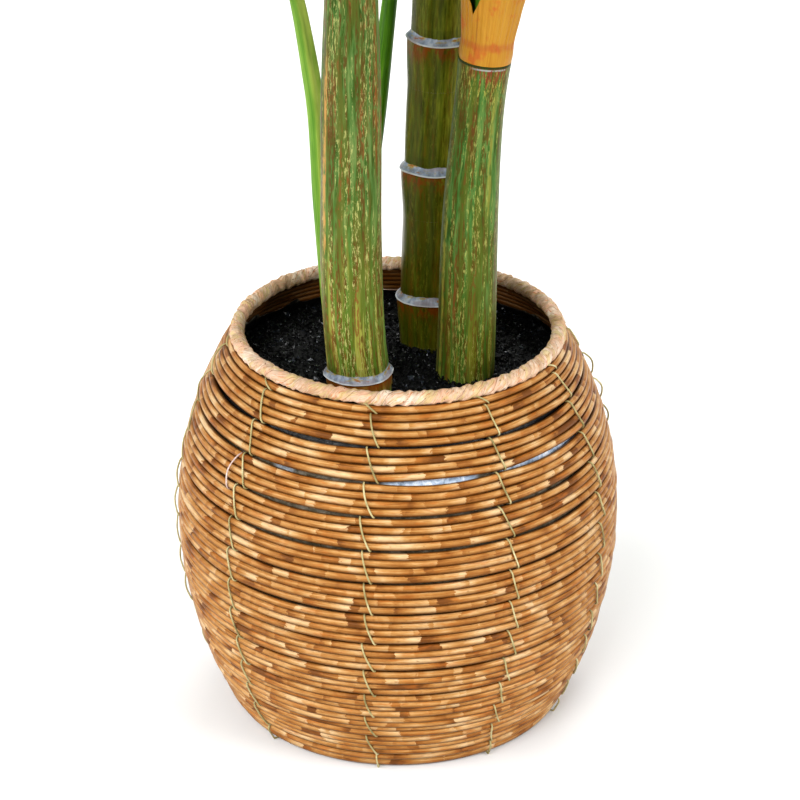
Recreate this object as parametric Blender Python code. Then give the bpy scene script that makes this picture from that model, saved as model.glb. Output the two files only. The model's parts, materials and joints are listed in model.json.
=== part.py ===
"""Potted artificial alocasia: three ringed canes in a barrel-shaped rattan basket.

Frame: +Z up, origin at the middle of the basket's flat underside, on the ground
plane.  The front of the basket faces -Y.  All sizes are in metres.

Basket: turned wall, rim roll, base hoop and floor, a thin liner and the black
filling.  Plant: three canes standing on the filling, each with a split sheath
on top, leaf stalks that rise out of the sheaths, and one arrow-shaped blade on
each stalk.  Two more stalks rise straight out of the filling.
"""

import math

import bmesh
import bpy
import numpy as np
from mathutils import Matrix, Vector

# ----------------------------------------------------------------- dimensions
# Basket, turned about Z
RIM_Z = 0.2760            # height of the rim roll's centre
WALL_RADII = (0.1150, 0.1413, 0.1501, 0.1410, 0.1088)   # at 0, 1/4, 1/2, 3/4, 1 of RIM_Z
STRAND_R = 0.00265        # half the wall's thickness: one rattan strand
RIM_R = 0.0047            # rim roll, section radius
HOOP_R = 0.00375          # base hoop, section radius
FLOOR_R = 0.1105
FLOOR_T = 0.0060
LINER_T = 0.0015
LINER_TOP = 0.2580
FILL_Z = 0.2540           # top of the filling
SEGMENTS = 32             # round the basket
WALL_ROWS = (0.0080, 0.0580, 0.1130, 0.1680, 0.2240, 0.2708)
GAP = 0.0003              # clearance between touching solids

# Canes: height, x, y, radius of each section
CANE_SIDES = 10
RING_BEVEL = 0.0036       # height of the pale chamfer over each ring's ledge
LEAN = {"left": (-0.02, -0.01), "right": (0.105, 0.0), "middle": (0.025, 0.010)}   # of a cane's top, sideways per height

# Sheaths
SHEATH_H = 0.092
SHEATH_T = 0.0016
SHEATH_FLARE = ((0.0, 0.0168), (0.0045, 0.0173), (0.012, 0.0169), (0.030, 0.0188),
                (0.055, 0.0214), (0.092, 0.0250))
NOTCH_SLOPE = 0.42        # sideways opening of a sheath's V for each unit of height

# Stalks
STALK_R0 = 0.0042         # at the foot
STALK_R1 = 0.0030         # under the blade
STALK_RING = 0.0091       # where the stalks stand round a cane's axis

# Blades
BLADE_T = 0.0024
# Outline about the point where the stalk meets the blade: degrees from the tip
# direction, and the distance to the edge as a share of the blade's front length.
OUTLINE = ((0, 1.000), (4, 0.945), (10, 0.855), (20, 0.735), (35, 0.615), (50, 0.540),
           (70, 0.485), (90, 0.465), (110, 0.475), (128, 0.525), (142, 0.585),
           (152, 0.600), (160, 0.530), (167, 0.360), (173, 0.170), (180, 0.050))
BLADE_ANGLES = (0, 12, 35, 65, 98, 128, 150, 164, 180)
BLADE_RINGS = (0.36, 0.70, 1.0)

# One row for each leaf: the stalk's place round the cane and its compass
# direction, both in degrees from +X, how far out and how high the blade's joint
# is, the stalk's slope there, the blade's compass direction and its pitch below
# level, its front length, its droop and its twist.
LEAVES = {
    "middle": (
        # foot, az, reach, height, slope, blade az, pitch, length, droop, roll
        (None, 105, 0.035, 1.365, 84, 100, -42, 0.205, 0.9, 4),
        (210, 208, 0.165, 1.255, 62, 208, 16, 0.265, 1.1, -8),
        (-30, -22, 0.165, 1.205, 60, -22, 20, 0.275, 1.1, 8),
        (30, 38, 0.185, 1.245, 60, 38, 14, 0.255, 1.1, 6),
        (90, 100, 0.195, 1.150, 56, 100, 28, 0.280, 1.0, -6),
        (-90, -92, 0.205, 1.105, 54, -92, 30, 0.290, 1.1, 6),
        (150, 155, 0.225, 1.050, 52, 155, 36, 0.285, 1.1, 8),
    ),
    "left": (
        (-166, -158, 0.110, 0.985, 70, -160, 18, 0.245, 1.1, 6),
        (-22, -80, 0.215, 0.905, 52, -80, 32, 0.255, 1.1, -8),
        (-94, -123, 0.270, 0.830, 48, -127, 37, 0.265, 1.1, 6),
        (122, 178, 0.235, 0.810, 50, 180, 40, 0.275, 1.1, -4),
        (50, 128, 0.235, 0.860, 52, 122, 40, 0.265, 1.0, 6),
    ),
    "right": (
        (58, 16, 0.155, 0.925, 62, 16, 24, 0.255, 1.1, -6),
        (-122, -34, 0.245, 0.835, 50, -32, 36, 0.260, 1.1, 6),
        (-32, -6, 0.285, 0.720, 46, -4, 42, 0.265, 1.1, 4),
        (148, 52, 0.225, 0.735, 52, 52, 42, 0.260, 1.0, -6),
    ),
}
# The two low stalks: points up the stalk's middle, then the blade.
LOW_STALKS = {
    "low_1": (
        ((-0.0452, 0.0347, 0.2548), (-0.0470, 0.0347, 0.2805), (-0.0515, 0.0349, 0.3545),
         (-0.0552, 0.0356, 0.4259), (-0.0600, 0.0365, 0.4607), (-0.0660, 0.0375, 0.4949),
         (-0.0820, 0.0480, 0.5500), (-0.1080, 0.0660, 0.6050), (-0.1420, 0.0880, 0.6500)),
        (154, 42, 0.215, 1.0, -6),
    ),
    "low_2": (
        ((-0.0330, 0.0430, 0.2550), (-0.0300, 0.0425, 0.2800), (-0.0222, 0.0400, 0.3500),
         (-0.0140, 0.0420, 0.4126), (-0.0095, 0.0470, 0.4538), (-0.0045, 0.0560, 0.4949),
         (0.0030, 0.0800, 0.5500), (0.0100, 0.1150, 0.6050), (0.0160, 0.1550, 0.6450)),
        (88, 44, 0.215, 1.0, 6),
    ),
}


# -------------------------------------------------------------------- helpers
def clear_scene():
    for obj in list(bpy.data.objects):
        bpy.data.objects.remove(obj, do_unlink=True)


def finish_material(name, colour, roughness):
    material = bpy.data.materials.new(name)
    material.use_nodes = True
    shader = material.node_tree.nodes["Principled BSDF"]
    shader.inputs["Base Color"].default_value = (*colour, 1.0)
    shader.inputs["Roughness"].default_value = roughness
    shader.inputs["Metallic"].default_value = 0.0
    material.diffuse_color = (*colour, 1.0)
    return material


def add_object(name, bm, material, smooth=True):
    bmesh.ops.recalc_face_normals(bm, faces=bm.faces)
    mesh = bpy.data.meshes.new(name)
    bm.to_mesh(mesh)
    bm.free()
    mesh.materials.append(material)
    if smooth:
        mesh.shade_smooth()
        mesh.set_sharp_from_angle(angle=math.radians(40))
    obj = bpy.data.objects.new(name, mesh)
    bpy.context.scene.collection.objects.link(obj)
    return obj


def turned(name, profile, material, closed):
    """A solid turned about Z from (radius, height) points; an open profile starts and ends on the axis."""
    bm = bmesh.new()
    points = [bm.verts.new((r, 0.0, z)) for r, z in profile]
    pairs = list(zip(points, points[1:]))
    if closed:
        pairs.append((points[-1], points[0]))
    edges = [bm.edges.new(pair) for pair in pairs]
    bmesh.ops.spin(bm, geom=points + edges, cent=(0, 0, 0), axis=(0, 0, 1),
                   angle=2 * math.pi, steps=SEGMENTS, use_merge=True, use_duplicate=False)
    bmesh.ops.remove_doubles(bm, verts=bm.verts, dist=0.00002)
    return add_object(name, bm, material)


def basket_radius(z):
    """Middle of the wall at height z: the quartic through WALL_RADII."""
    t = z / RIM_Z
    knots = (0.0, 0.25, 0.5, 0.75, 1.0)
    total = 0.0
    for i, radius in enumerate(WALL_RADII):
        share = 1.0
        for j, knot in enumerate(knots):
            if j != i:
                share *= (t - knot) / (knots[i] - knot)
        total += radius * share
    return total


def row_radius(z):
    """The wall's middle between WALL_ROWS, which the liner and the filling share."""
    return float(np.interp(z, WALL_ROWS, [basket_radius(row) for row in WALL_ROWS]))


def smooth_through(knots, values, at):
    """Monotone-ish cubic (Catmull-Rom on uneven knots) through values, read at the places in at."""
    knots = np.asarray(knots, float)
    values = np.asarray(values, float)
    slopes = np.gradient(values, knots, axis=0)
    found = []
    for x in np.atleast_1d(at):
        i = int(np.clip(np.searchsorted(knots, x) - 1, 0, len(knots) - 2))
        h = knots[i + 1] - knots[i]
        t = (x - knots[i]) / h
        found.append((2 * t**3 - 3 * t**2 + 1) * values[i] + (t**3 - 2 * t**2 + t) * h * slopes[i]
                     + (-2 * t**3 + 3 * t**2) * values[i + 1] + (t**3 - t**2) * h * slopes[i + 1])
    return np.array(found)


def loops_to_solid(name, rings, material):
    """A closed body skinned over rings of points, with a flat cap at each end."""
    bm = bmesh.new()
    made = []
    for ring in rings:
        verts = [bm.verts.new(p) for p in ring]
        edges = [bm.edges.new((a, b)) for a, b in zip(verts, verts[1:] + verts[:1])]
        made.append((verts, edges))
    for (_, low), (_, high) in zip(made, made[1:]):
        bmesh.ops.bridge_loops(bm, edges=low + high)
    bm.faces.new(made[0][0])
    bm.faces.new(made[-1][0])
    return add_object(name, bm, material)


# --------------------------------------------------------------------- basket
def build_basket(mats):
    outer = [(row_radius(z) + STRAND_R, z) for z in WALL_ROWS]
    inner = [(row_radius(z) - STRAND_R, z) for z in reversed(WALL_ROWS)]
    turned("basket_wall", outer + inner, mats["rattan"], closed=True)

    def roll(radius, height, section, sides):
        turn = math.pi / sides
        return [(radius + section * math.cos(turn + 2 * math.pi * k / sides),
                 height + section * math.sin(turn + 2 * math.pi * k / sides)) for k in range(sides)]

    turned("basket_rim", roll(basket_radius(RIM_Z), RIM_Z, RIM_R, 6), mats["rim"], closed=True)
    turned("base_hoop", roll(WALL_RADII[0], HOOP_R + GAP,
                             HOOP_R, 6), mats["rattan"], closed=True)
    turned("basket_floor", [(0, 0), (FLOOR_R, 0), (FLOOR_R, FLOOR_T), (0, FLOOR_T)], mats["rattan"], closed=False)

    outside = STRAND_R + 2 * GAP
    inside = outside + LINER_T
    foot = 0.0085
    rows = [z for z in WALL_ROWS[1:-1] if z < LINER_TOP] + [LINER_TOP]
    liner = [(0, foot)] + [(row_radius(z) - outside, z) for z in [foot] + rows]
    liner += [(row_radius(z) - inside, z) for z in reversed([foot + LINER_T] + rows)] + [(0, foot + LINER_T)]
    turned("liner", liner, mats["liner"], closed=False)

    clear = inside + 1.5 * GAP
    base = foot + LINER_T + GAP
    rows = [base] + [z for z in WALL_ROWS[1:-1] if z < FILL_Z] + [FILL_Z]
    turned("filling", [(0, base)] + [(row_radius(z) - clear, z) for z in rows] + [(0, FILL_Z)],
           mats["filling"], closed=False)


# ---------------------------------------------------------------------- canes
def cane_path(kind):
    """(heights, middles) of a cane's axis."""
    return {
        "left": (
            (0.2543, 0.2660, 0.2883, 0.3172, 0.3527, 0.4219, 0.4886, 0.5211, 0.5760),
            ((-0.0252, -0.0466), (-0.0261, -0.0466), (-0.0281, -0.0466), (-0.0296, -0.0466), (-0.0302, -0.0467),
             (-0.0297, -0.0468), (-0.0292, -0.0470), (-0.0289, -0.0472), (-0.0284, -0.0478)),
        ),
        "right": (
            (0.2543, 0.2854, 0.3424, 0.3785, 0.4105, 0.4454, 0.4745),
            ((0.0450, -0.0225), (0.0457, -0.0225), (0.0470, -0.0225), (0.0481, -0.0225), (0.0497, -0.0225),
             (0.0525, -0.0225), (0.0556, -0.0225)),
        ),
        "middle": (
            (0.2543, 0.2876, 0.3810, 0.4713, 0.5600, 0.6470, 0.7330, 0.8180),
            ((0.0218, 0.0298), (0.0221, 0.0298), (0.0240, 0.0300), (0.0276, 0.0304), (0.0308, 0.0309),
             (0.0338, 0.0316), (0.0366, 0.0324), (0.0390, 0.0332)),
        ),
    }[kind]


def cane_sections(kind):
    """(height, radius) pairs up a cane, foot to top; a ring is a ledge with a pale chamfer over it."""
    if kind == "left":
        return ((0.2543, 0.0224), (0.2600, 0.0218), (0.2655, 0.0232), (0.2660 + RING_BEVEL, 0.0203),
                (0.3000, 0.0201), (0.3527, 0.0200), (0.4219, 0.0193), (0.4886, 0.0181), (0.5211, 0.0171),
                (0.5480, 0.0166), (0.5680, 0.0170), (0.5760, 0.0174))
    if kind == "right":
        return ((0.2543, 0.0200), (0.2854, 0.0196), (0.3424, 0.0189), (0.3785, 0.0180), (0.4105, 0.0169),
                (0.4454, 0.0161), (0.4650, 0.0164), (0.4745, 0.0169))
    rings = (0.2876, 0.3810, 0.4713, 0.5600, 0.6470, 0.7330)
    rows = [(0.2543, 0.0206), (0.2720, 0.0208), (0.2845, 0.0222)]
    for i, z in enumerate(rings):
        ledge = 0.0231 - 0.00025 * i
        body = 0.0199 - 0.00030 * i
        top = rings[i + 1] if i + 1 < len(rings) else 0.8180
        rows += [(z, ledge), (z + RING_BEVEL, body)]
        if i + 1 < len(rings):
            rows += [(top - 0.0130, body + 0.0002), (top - 0.0030, ledge - 0.0010)]
    rows += [(0.8050, 0.0172), (0.8180, 0.0176)]
    return rows


def axis_at(kind, z):
    heights, middles = cane_path(kind)
    x, y = smooth_through(heights, middles, z)[0]
    return Vector((x, y, z))


def build_cane(kind, material):
    """Rings square to the lean, over a flat level foot."""
    foot, top = cane_path(kind)[0][0], cane_path(kind)[0][-1]
    rings = []
    for z, radius in cane_sections(kind):
        share = min(1.0, (z - foot) / 0.08) * min(1.0, max(0.0, (z - foot) / (top - foot)))
        lean = Vector((LEAN[kind][0] * share, LEAN[kind][1] * share, 1.0)).normalized()
        turn = Vector((0, 0, 1)).rotation_difference(lean).to_matrix()
        rings.append([axis_at(kind, z) + turn @ Vector((radius * math.cos(2 * math.pi * k / CANE_SIDES),
                                                        radius * math.sin(2 * math.pi * k / CANE_SIDES), 0.0))
                      for k in range(CANE_SIDES)])
    return loops_to_solid(f"cane_{kind}", rings, material)


# -------------------------------------------------------------------- sheaths
SHEATH_NOTCHES = {        # compass direction in degrees and height of each V's foot
    "left": ((-120, 0.030), (10, 0.040), (120, 0.034)),
    "right": ((-128, 0.033), (-5, 0.042), (110, 0.036)),
    "middle": ((-70, 0.036), (50, 0.030), (170, 0.042)),
}


def sheath_frame(kind):
    """The middle of a sheath's underside, over its cane's top, and the way the sheath points."""
    lean = Vector((*LEAN[kind], 1.0)).normalized()
    return axis_at(kind, cane_path(kind)[0][-1]) + lean * GAP, lean


def sheath_edge(kind, angle, radius):
    """Height of the sheath's upper edge at an angle: the lowest V there, under the pointed tips."""
    edge = SHEATH_H
    for at, foot in SHEATH_NOTCHES[kind]:
        away = abs((angle - math.radians(at) + math.pi) % (2 * math.pi) - math.pi) * radius
        edge = min(edge, foot + away / NOTCH_SLOPE)
    return edge


def sheath_radius(h):
    return float(smooth_through([p[0] for p in SHEATH_FLARE], [p[1] for p in SHEATH_FLARE], h)[0])


def build_sheath(kind, material):
    base, lean = sheath_frame(kind)
    turn = Vector((0, 0, 1)).rotation_difference(lean).to_matrix()
    angles = sorted({round(math.radians(at + step), 6) for at, _ in SHEATH_NOTCHES[kind]
                     for step in (0, 32, -32, 60)})
    rows = (0.0, 0.0045, 0.012, 0.32, 0.66, 1.0)
    middle_r = SHEATH_T / 2
    bm = bmesh.new()
    grid = []
    for row in rows:
        ring = []
        for angle in angles:
            edge = sheath_edge(kind, angle, 0.0200)
            h = row if row < 0.02 else 0.012 + (edge - 0.012) * row
            radius = sheath_radius(h) - middle_r
            lift = h + middle_r
            local = Vector((radius * math.cos(angle), radius * math.sin(angle), lift))
            ring.append(bm.verts.new(base + turn @ local))
        grid.append(ring)
    count = len(angles)
    for low, high in zip(grid, grid[1:]):
        for k in range(count):
            bm.faces.new((low[k], low[(k + 1) % count], high[(k + 1) % count], high[k]))
    bm.faces.new(list(reversed(grid[0])))
    obj = add_object(f"sheath_{kind}", bm, material)
    solid = obj.modifiers.new("wall", "SOLIDIFY")
    solid.thickness = SHEATH_T
    solid.offset = 0.0
    solid.use_even_offset = False
    return obj


# --------------------------------------------------------- stalks and blades
def outline(degrees):
    return float(smooth_through([a for a, _ in OUTLINE], [r for _, r in OUTLINE], abs(degrees))[0])


def blade_height(length, u, v, droop):
    """The blade's middle surface over its flat outline: the halves rise from the midrib, and tip, lobes and edges fall."""
    s, w = u / length, abs(v) / length
    along = 0.30 * s * s if s > 0 else 0.16 * s * s
    return length * (0.20 * w - 0.50 * w * w - droop * along)


def blade_frame(joint, azimuth, pitch, roll):
    """Matrix of a blade: +X to its tip, +Z out of its upper side, at its joint with the stalk."""
    turn = (Matrix.Rotation(math.radians(azimuth), 4, "Z") @ Matrix.Rotation(math.radians(pitch), 4, "Y")
            @ Matrix.Rotation(math.radians(roll), 4, "X"))
    return Matrix.Translation(joint) @ turn


def build_blade(name, joint, azimuth, pitch, length, droop, roll, material):
    frame = blade_frame(joint, azimuth, pitch, roll)
    angles = [float(a) for a in BLADE_ANGLES] + [-float(a) for a in reversed(BLADE_ANGLES[1:-1])]
    bm = bmesh.new()
    hub = bm.verts.new(frame @ Vector((0, 0, 0)))
    rings = []
    for share in BLADE_RINGS:
        ring = []
        for degrees in angles:
            reach = length * outline(degrees) * share
            u, v = reach * math.cos(math.radians(degrees)), reach * math.sin(math.radians(degrees))
            ring.append(bm.verts.new(frame @ Vector((u, v, blade_height(length, u, v, droop)))))
        rings.append(ring)
    count = len(angles)
    for k in range(count):
        bm.faces.new((hub, rings[0][k], rings[0][(k + 1) % count]))
        for low, high in zip(rings, rings[1:]):
            bm.faces.new((low[k], high[k], high[(k + 1) % count], low[(k + 1) % count]))
    obj = add_object(name, bm, material)
    solid = obj.modifiers.new("thickness", "SOLIDIFY")
    solid.thickness = BLADE_T
    solid.offset = 0.0
    solid.use_even_offset = False
    return obj


def bezier(a, b, c, d, steps):
    return [((1 - t)**3) * a + 3 * t * (1 - t)**2 * b + 3 * t * t * (1 - t) * c + t**3 * d
            for t in (i / steps for i in range(1, steps + 1))]


def stalk_end(joint, azimuth, pitch, roll, arrive):
    """Where a stalk that arrives along a direction stops, just under its blade."""
    up = (blade_frame(joint, azimuth, pitch, roll).to_3x3() @ Vector((0, 0, 1))).normalized()
    tilt = arrive.angle(up)
    back = (BLADE_T / 2 + 2.5 * GAP + STALK_R1 * math.sin(min(tilt, math.pi / 2))) / max(math.cos(tilt), 0.35)
    return joint - arrive * back


def compass(degrees):
    return Vector((math.cos(math.radians(degrees)), math.sin(math.radians(degrees)), 0.0))


def cane_stalk(kind, row):
    """The middle line of one of a cane's stalks, from inside the sheath to its blade."""
    around, azimuth, reach, height, slope, blade_az, pitch, _, _, roll = row
    base, lean = sheath_frame(kind)
    out = compass(azimuth)
    side = Vector() if around is None else compass(around)
    foot = base + side * STALK_RING + lean * (SHEATH_T + 0.0016)
    leave = (lean + side * 0.075).normalized()
    top = foot + leave * 0.094
    joint = Vector((base.x + out.x * reach, base.y + out.y * reach, height))
    arrive = (out * math.cos(math.radians(slope)) + Vector((0, 0, 1)) * math.sin(math.radians(slope))).normalized()
    end = stalk_end(joint, blade_az, pitch, roll, arrive)
    span = (end - top).length
    line = [foot, foot + leave * 0.047, top] + bezier(top, top + leave * 0.45 * span, end - arrive * 0.35 * span, end, 6)
    return line, joint


def build_stalk(name, line, r0, r1, material):
    """A tapering stalk: a curve with a round bevel and filled caps."""
    curve = bpy.data.curves.new(name, "CURVE")
    curve.dimensions = "3D"
    curve.bevel_depth = 1.0
    curve.bevel_resolution = 1
    curve.use_fill_caps = True
    curve.resolution_u = 1
    spline = curve.splines.new("POLY")
    spline.points.add(len(line) - 1)
    lengths = np.concatenate([[0.0], np.cumsum([(b - a).length for a, b in zip(line, line[1:])])])
    for point, place, run in zip(spline.points, line, lengths / lengths[-1]):
        point.co = (*place, 1.0)
        point.radius = r0 + (r1 - r0) * run
    curve.materials.append(material)
    obj = bpy.data.objects.new(name, curve)
    bpy.context.scene.collection.objects.link(obj)
    return obj


def build_crown(mats):
    for kind, rows in LEAVES.items():
        for i, row in enumerate(rows):
            line, joint = cane_stalk(kind, row)
            build_stalk(f"stalk_{kind}_{i + 1}", line, STALK_R0, STALK_R1, mats["stalk"])
            azimuth, pitch, length, droop, roll = row[5:]
            build_blade(f"leaf_{kind}_{i + 1}", joint, azimuth, pitch, length, droop, roll, mats["leaf"])
    for name, (points, blade) in LOW_STALKS.items():
        azimuth, pitch, length, droop, roll = blade
        places = [Vector(p) for p in points]
        arrive = (places[-1] - places[-2]).normalized()
        joint = places[-1] + arrive * 0.012
        places[-1] = stalk_end(joint, azimuth, pitch, roll, arrive)
        build_stalk(f"stalk_{name}", places, 0.0056, STALK_R1, mats["stalk"])
        build_blade(f"leaf_{name}", joint, azimuth, pitch, length, droop, roll, mats["leaf"])


def main():
    clear_scene()
    mats = {
        "rattan": finish_material("rattan", (0.58, 0.29, 0.10), 0.45),
        "rim": finish_material("rim_wrap", (0.72, 0.50, 0.35), 0.70),
        "liner": finish_material("liner_film", (0.45, 0.48, 0.52), 0.50),
        "filling": finish_material("black_filling", (0.012, 0.012, 0.014), 0.60),
        "cane": finish_material("cane_bark", (0.16, 0.26, 0.08), 0.45),
        "sheath": finish_material("sheath_skin", (0.72, 0.38, 0.07), 0.50),
        "stalk": finish_material("stalk_green", (0.16, 0.36, 0.05), 0.40),
        "leaf": finish_material("leaf_green", (0.07, 0.22, 0.04), 0.40),
    }
    build_basket(mats)
    for kind in ("left", "right", "middle"):
        build_cane(kind, mats["cane"])
        build_sheath(kind, mats["sheath"])
    build_crown(mats)


main()
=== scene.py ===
"""Looks of the potted artificial alocasia: rattan basket, black filling, three ringed canes, sheaths, stalks, leaves.

Everything is in metres in the row frame: +Z up, origin under the basket, front towards -Y.
"""

import json
import math

import bpy
import numpy as np
from mathutils import Matrix, Vector

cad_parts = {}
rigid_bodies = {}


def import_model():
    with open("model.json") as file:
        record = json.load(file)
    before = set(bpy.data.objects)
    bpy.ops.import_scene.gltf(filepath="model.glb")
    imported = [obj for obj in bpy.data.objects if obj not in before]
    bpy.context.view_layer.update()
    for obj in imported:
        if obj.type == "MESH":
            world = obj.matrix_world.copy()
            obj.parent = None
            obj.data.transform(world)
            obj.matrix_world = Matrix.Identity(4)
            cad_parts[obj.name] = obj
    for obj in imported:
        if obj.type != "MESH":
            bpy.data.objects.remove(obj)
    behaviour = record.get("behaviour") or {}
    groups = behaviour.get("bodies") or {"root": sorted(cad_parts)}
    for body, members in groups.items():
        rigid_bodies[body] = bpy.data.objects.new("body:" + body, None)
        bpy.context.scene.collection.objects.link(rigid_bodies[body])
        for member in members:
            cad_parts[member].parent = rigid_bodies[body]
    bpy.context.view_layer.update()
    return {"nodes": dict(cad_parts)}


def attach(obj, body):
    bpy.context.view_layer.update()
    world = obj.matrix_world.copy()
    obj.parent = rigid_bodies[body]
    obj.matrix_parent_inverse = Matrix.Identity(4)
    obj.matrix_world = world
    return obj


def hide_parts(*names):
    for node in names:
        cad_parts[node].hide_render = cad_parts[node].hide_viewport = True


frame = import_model()

# ------------------------------------------------------------- camera, floor, light
def aim(obj, place, target):
    obj.location = place
    obj.rotation_euler = (Vector(target) - Vector(place)).to_track_quat("-Z", "Y").to_euler()


camera_data = bpy.data.cameras.new("camera")
camera_data.sensor_width = 36.0
camera_data.lens = 120.34
camera_data.clip_start = 0.05
camera_data.clip_end = 60.0
camera = bpy.data.objects.new("camera", camera_data)
bpy.context.scene.collection.objects.link(camera)
aim(camera, (0.0014552, -1.64226, 1.03694), (0.0014552, 0.0, 0.221))
bpy.context.scene.camera = camera
bpy.context.scene.view_settings.view_transform = "Standard"
bpy.context.scene.view_settings.look = "Medium High Contrast"

world = bpy.data.worlds.new("studio")
bpy.context.scene.world = world
world.use_nodes = True
world.node_tree.nodes["Background"].inputs["Color"].default_value = (1.0, 1.0, 1.0, 1.0)
world.node_tree.nodes["Background"].inputs["Strength"].default_value = 0.62


def area_light(name, place, target, size, power, colour=(1.0, 1.0, 1.0)):
    data = bpy.data.lights.new(name, "AREA")
    data.shape = "RECTANGLE"
    data.size, data.size_y = size
    data.energy = power
    data.color = colour
    obj = bpy.data.objects.new(name, data)
    bpy.context.scene.collection.objects.link(obj)
    aim(obj, place, target)
    return obj


area_light("key", (-1.1, -2.5, 2.1), (0.0, 0.0, 0.3), (1.7, 1.2), 58.0)
area_light("fill_left", (-2.3, -0.9, 1.2), (0.0, 0.0, 0.3), (1.2, 1.4), 31.0)
area_light("fill_right", (2.2, -1.3, 1.3), (0.0, 0.0, 0.3), (1.2, 1.4), 41.0)
area_light("back", (0.6, 2.6, 2.4), (0.0, 0.0, 0.5), (2.0, 1.4), 40.0)
area_light("top", (0.0, -0.3, 3.2), (0.0, 0.0, 0.0), (2.4, 2.4), 47.0)


# ------------------------------------------------------------------ mesh building
def grid(rows, cols, loop_cols=True, loop_rows=False):
    """Quads over a grid of points, and each corner's own (row, column), which runs past the seam instead of back to 0."""
    r, c = np.meshgrid(np.arange(rows if loop_rows else rows - 1), np.arange(cols if loop_cols else cols - 1),
                       indexing="ij")
    corners = np.stack([np.stack([r, c], -1), np.stack([r, c + 1], -1),
                        np.stack([r + 1, c + 1], -1), np.stack([r + 1, c], -1)], axis=2).reshape(-1, 4, 2)
    return (corners[..., 0] % rows) * cols + corners[..., 1] % cols, corners


class Batch:
    """Gathers bits of mesh, with their maps and materials, and joins them into one object."""

    def __init__(self, *maps):
        self.maps = maps or ("Flat",)
        self.points, self.count = [], 0
        self.faces = {3: [], 4: []}
        self.which = {3: [], 4: []}
        self.values = {k: {m: [] for m in self.maps} for k in (3, 4)}

    def add(self, points, faces, which=0, **values):
        start = self.count
        if points is not None:
            self.points.append(np.asarray(points, float).reshape(-1, 3))
            self.count += len(self.points[-1])
            self.last = start
        else:
            start = self.last
        faces = np.asarray(faces, int)
        k = faces.shape[1]
        self.faces[k].append(faces + start)
        self.which[k].append(np.broadcast_to(which, (len(faces),)))
        for m in self.maps:
            v = values.get(m)
            self.values[k][m].append(np.zeros((len(faces), k, 2)) if v is None else np.asarray(v, float))
        return self

    def triangles(self):
        return sum(len(f) * (k - 2) for k in (3, 4) for f in self.faces[k])

    def build(self, name, materials, sharp=None):
        mesh = bpy.data.meshes.new(name)
        points = np.concatenate(self.points)
        parts = [(k, np.concatenate(self.faces[k])) for k in (4, 3) if self.faces[k]]
        loops = np.concatenate([f.ravel() for _, f in parts])
        totals = np.concatenate([np.full(len(f), k) for k, f in parts])
        mesh.vertices.add(len(points))
        mesh.vertices.foreach_set("co", points.astype(np.float32).ravel())
        mesh.loops.add(len(loops))
        mesh.loops.foreach_set("vertex_index", loops.astype(np.int32))
        mesh.polygons.add(len(totals))
        mesh.polygons.foreach_set("loop_start", np.concatenate([[0], np.cumsum(totals)[:-1]]).astype(np.int32))
        mesh.polygons.foreach_set("loop_total", totals.astype(np.int32))
        mesh.polygons.foreach_set("material_index",
                                  np.concatenate([np.concatenate(self.which[k]) for k, _ in parts]).astype(np.int32))
        for m in self.maps:
            layer = mesh.uv_layers.new(name=m, do_init=False)
            flat = np.concatenate([np.concatenate(self.values[k][m]).reshape(-1, 2) for k, _ in parts])
            layer.uv.foreach_set("vector", flat.astype(np.float32).ravel())
        mesh.update(calc_edges=True)
        mesh.validate()
        mesh.shade_smooth()
        if sharp is not None:
            mesh.set_sharp_from_angle(angle=math.radians(sharp))
        for material in materials:
            mesh.materials.append(material)
        obj = bpy.data.objects.new(name, mesh)
        bpy.context.scene.collection.objects.link(obj)
        return obj


def place(obj, slot, *nodes):
    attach(obj, "root")
    if nodes:
        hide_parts(*nodes)
    return obj


def smoothstep(t):
    t = np.clip(t, 0.0, 1.0)
    return t * t * (3 - 2 * t)


def cubic(knots, values, at):
    """Cubic through values, read at the places in at; the same rule as the solids use."""
    knots, values = np.asarray(knots, float), np.asarray(values, float)
    at = np.atleast_1d(np.asarray(at, float))
    slopes = np.gradient(values, knots, axis=0)
    i = np.clip(np.searchsorted(knots, at) - 1, 0, len(knots) - 2)
    h = knots[i + 1] - knots[i]
    t = (at - knots[i]) / h
    if values.ndim > 1:
        h, t = h[:, None], t[:, None]
    return ((2 * t**3 - 3 * t**2 + 1) * values[i] + (t**3 - 2 * t**2 + t) * h * slopes[i]
            + (-2 * t**3 + 3 * t**2) * values[i + 1] + (t**3 - t**2) * h * slopes[i + 1])


def unit(v):
    return v / np.maximum(np.linalg.norm(v, axis=-1, keepdims=True), 1e-12)


def carried_frames(path, start):
    """Two unit vectors across a path at each point, carried along it without twist."""
    tangent = unit(np.gradient(path, axis=0))
    across = np.empty_like(path)
    v = np.asarray(start, float)
    for i, t in enumerate(tangent):
        v = v - t * (v @ t)
        v = v / np.linalg.norm(v)
        across[i] = v
    return tangent, across, np.cross(tangent, across)


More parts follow.
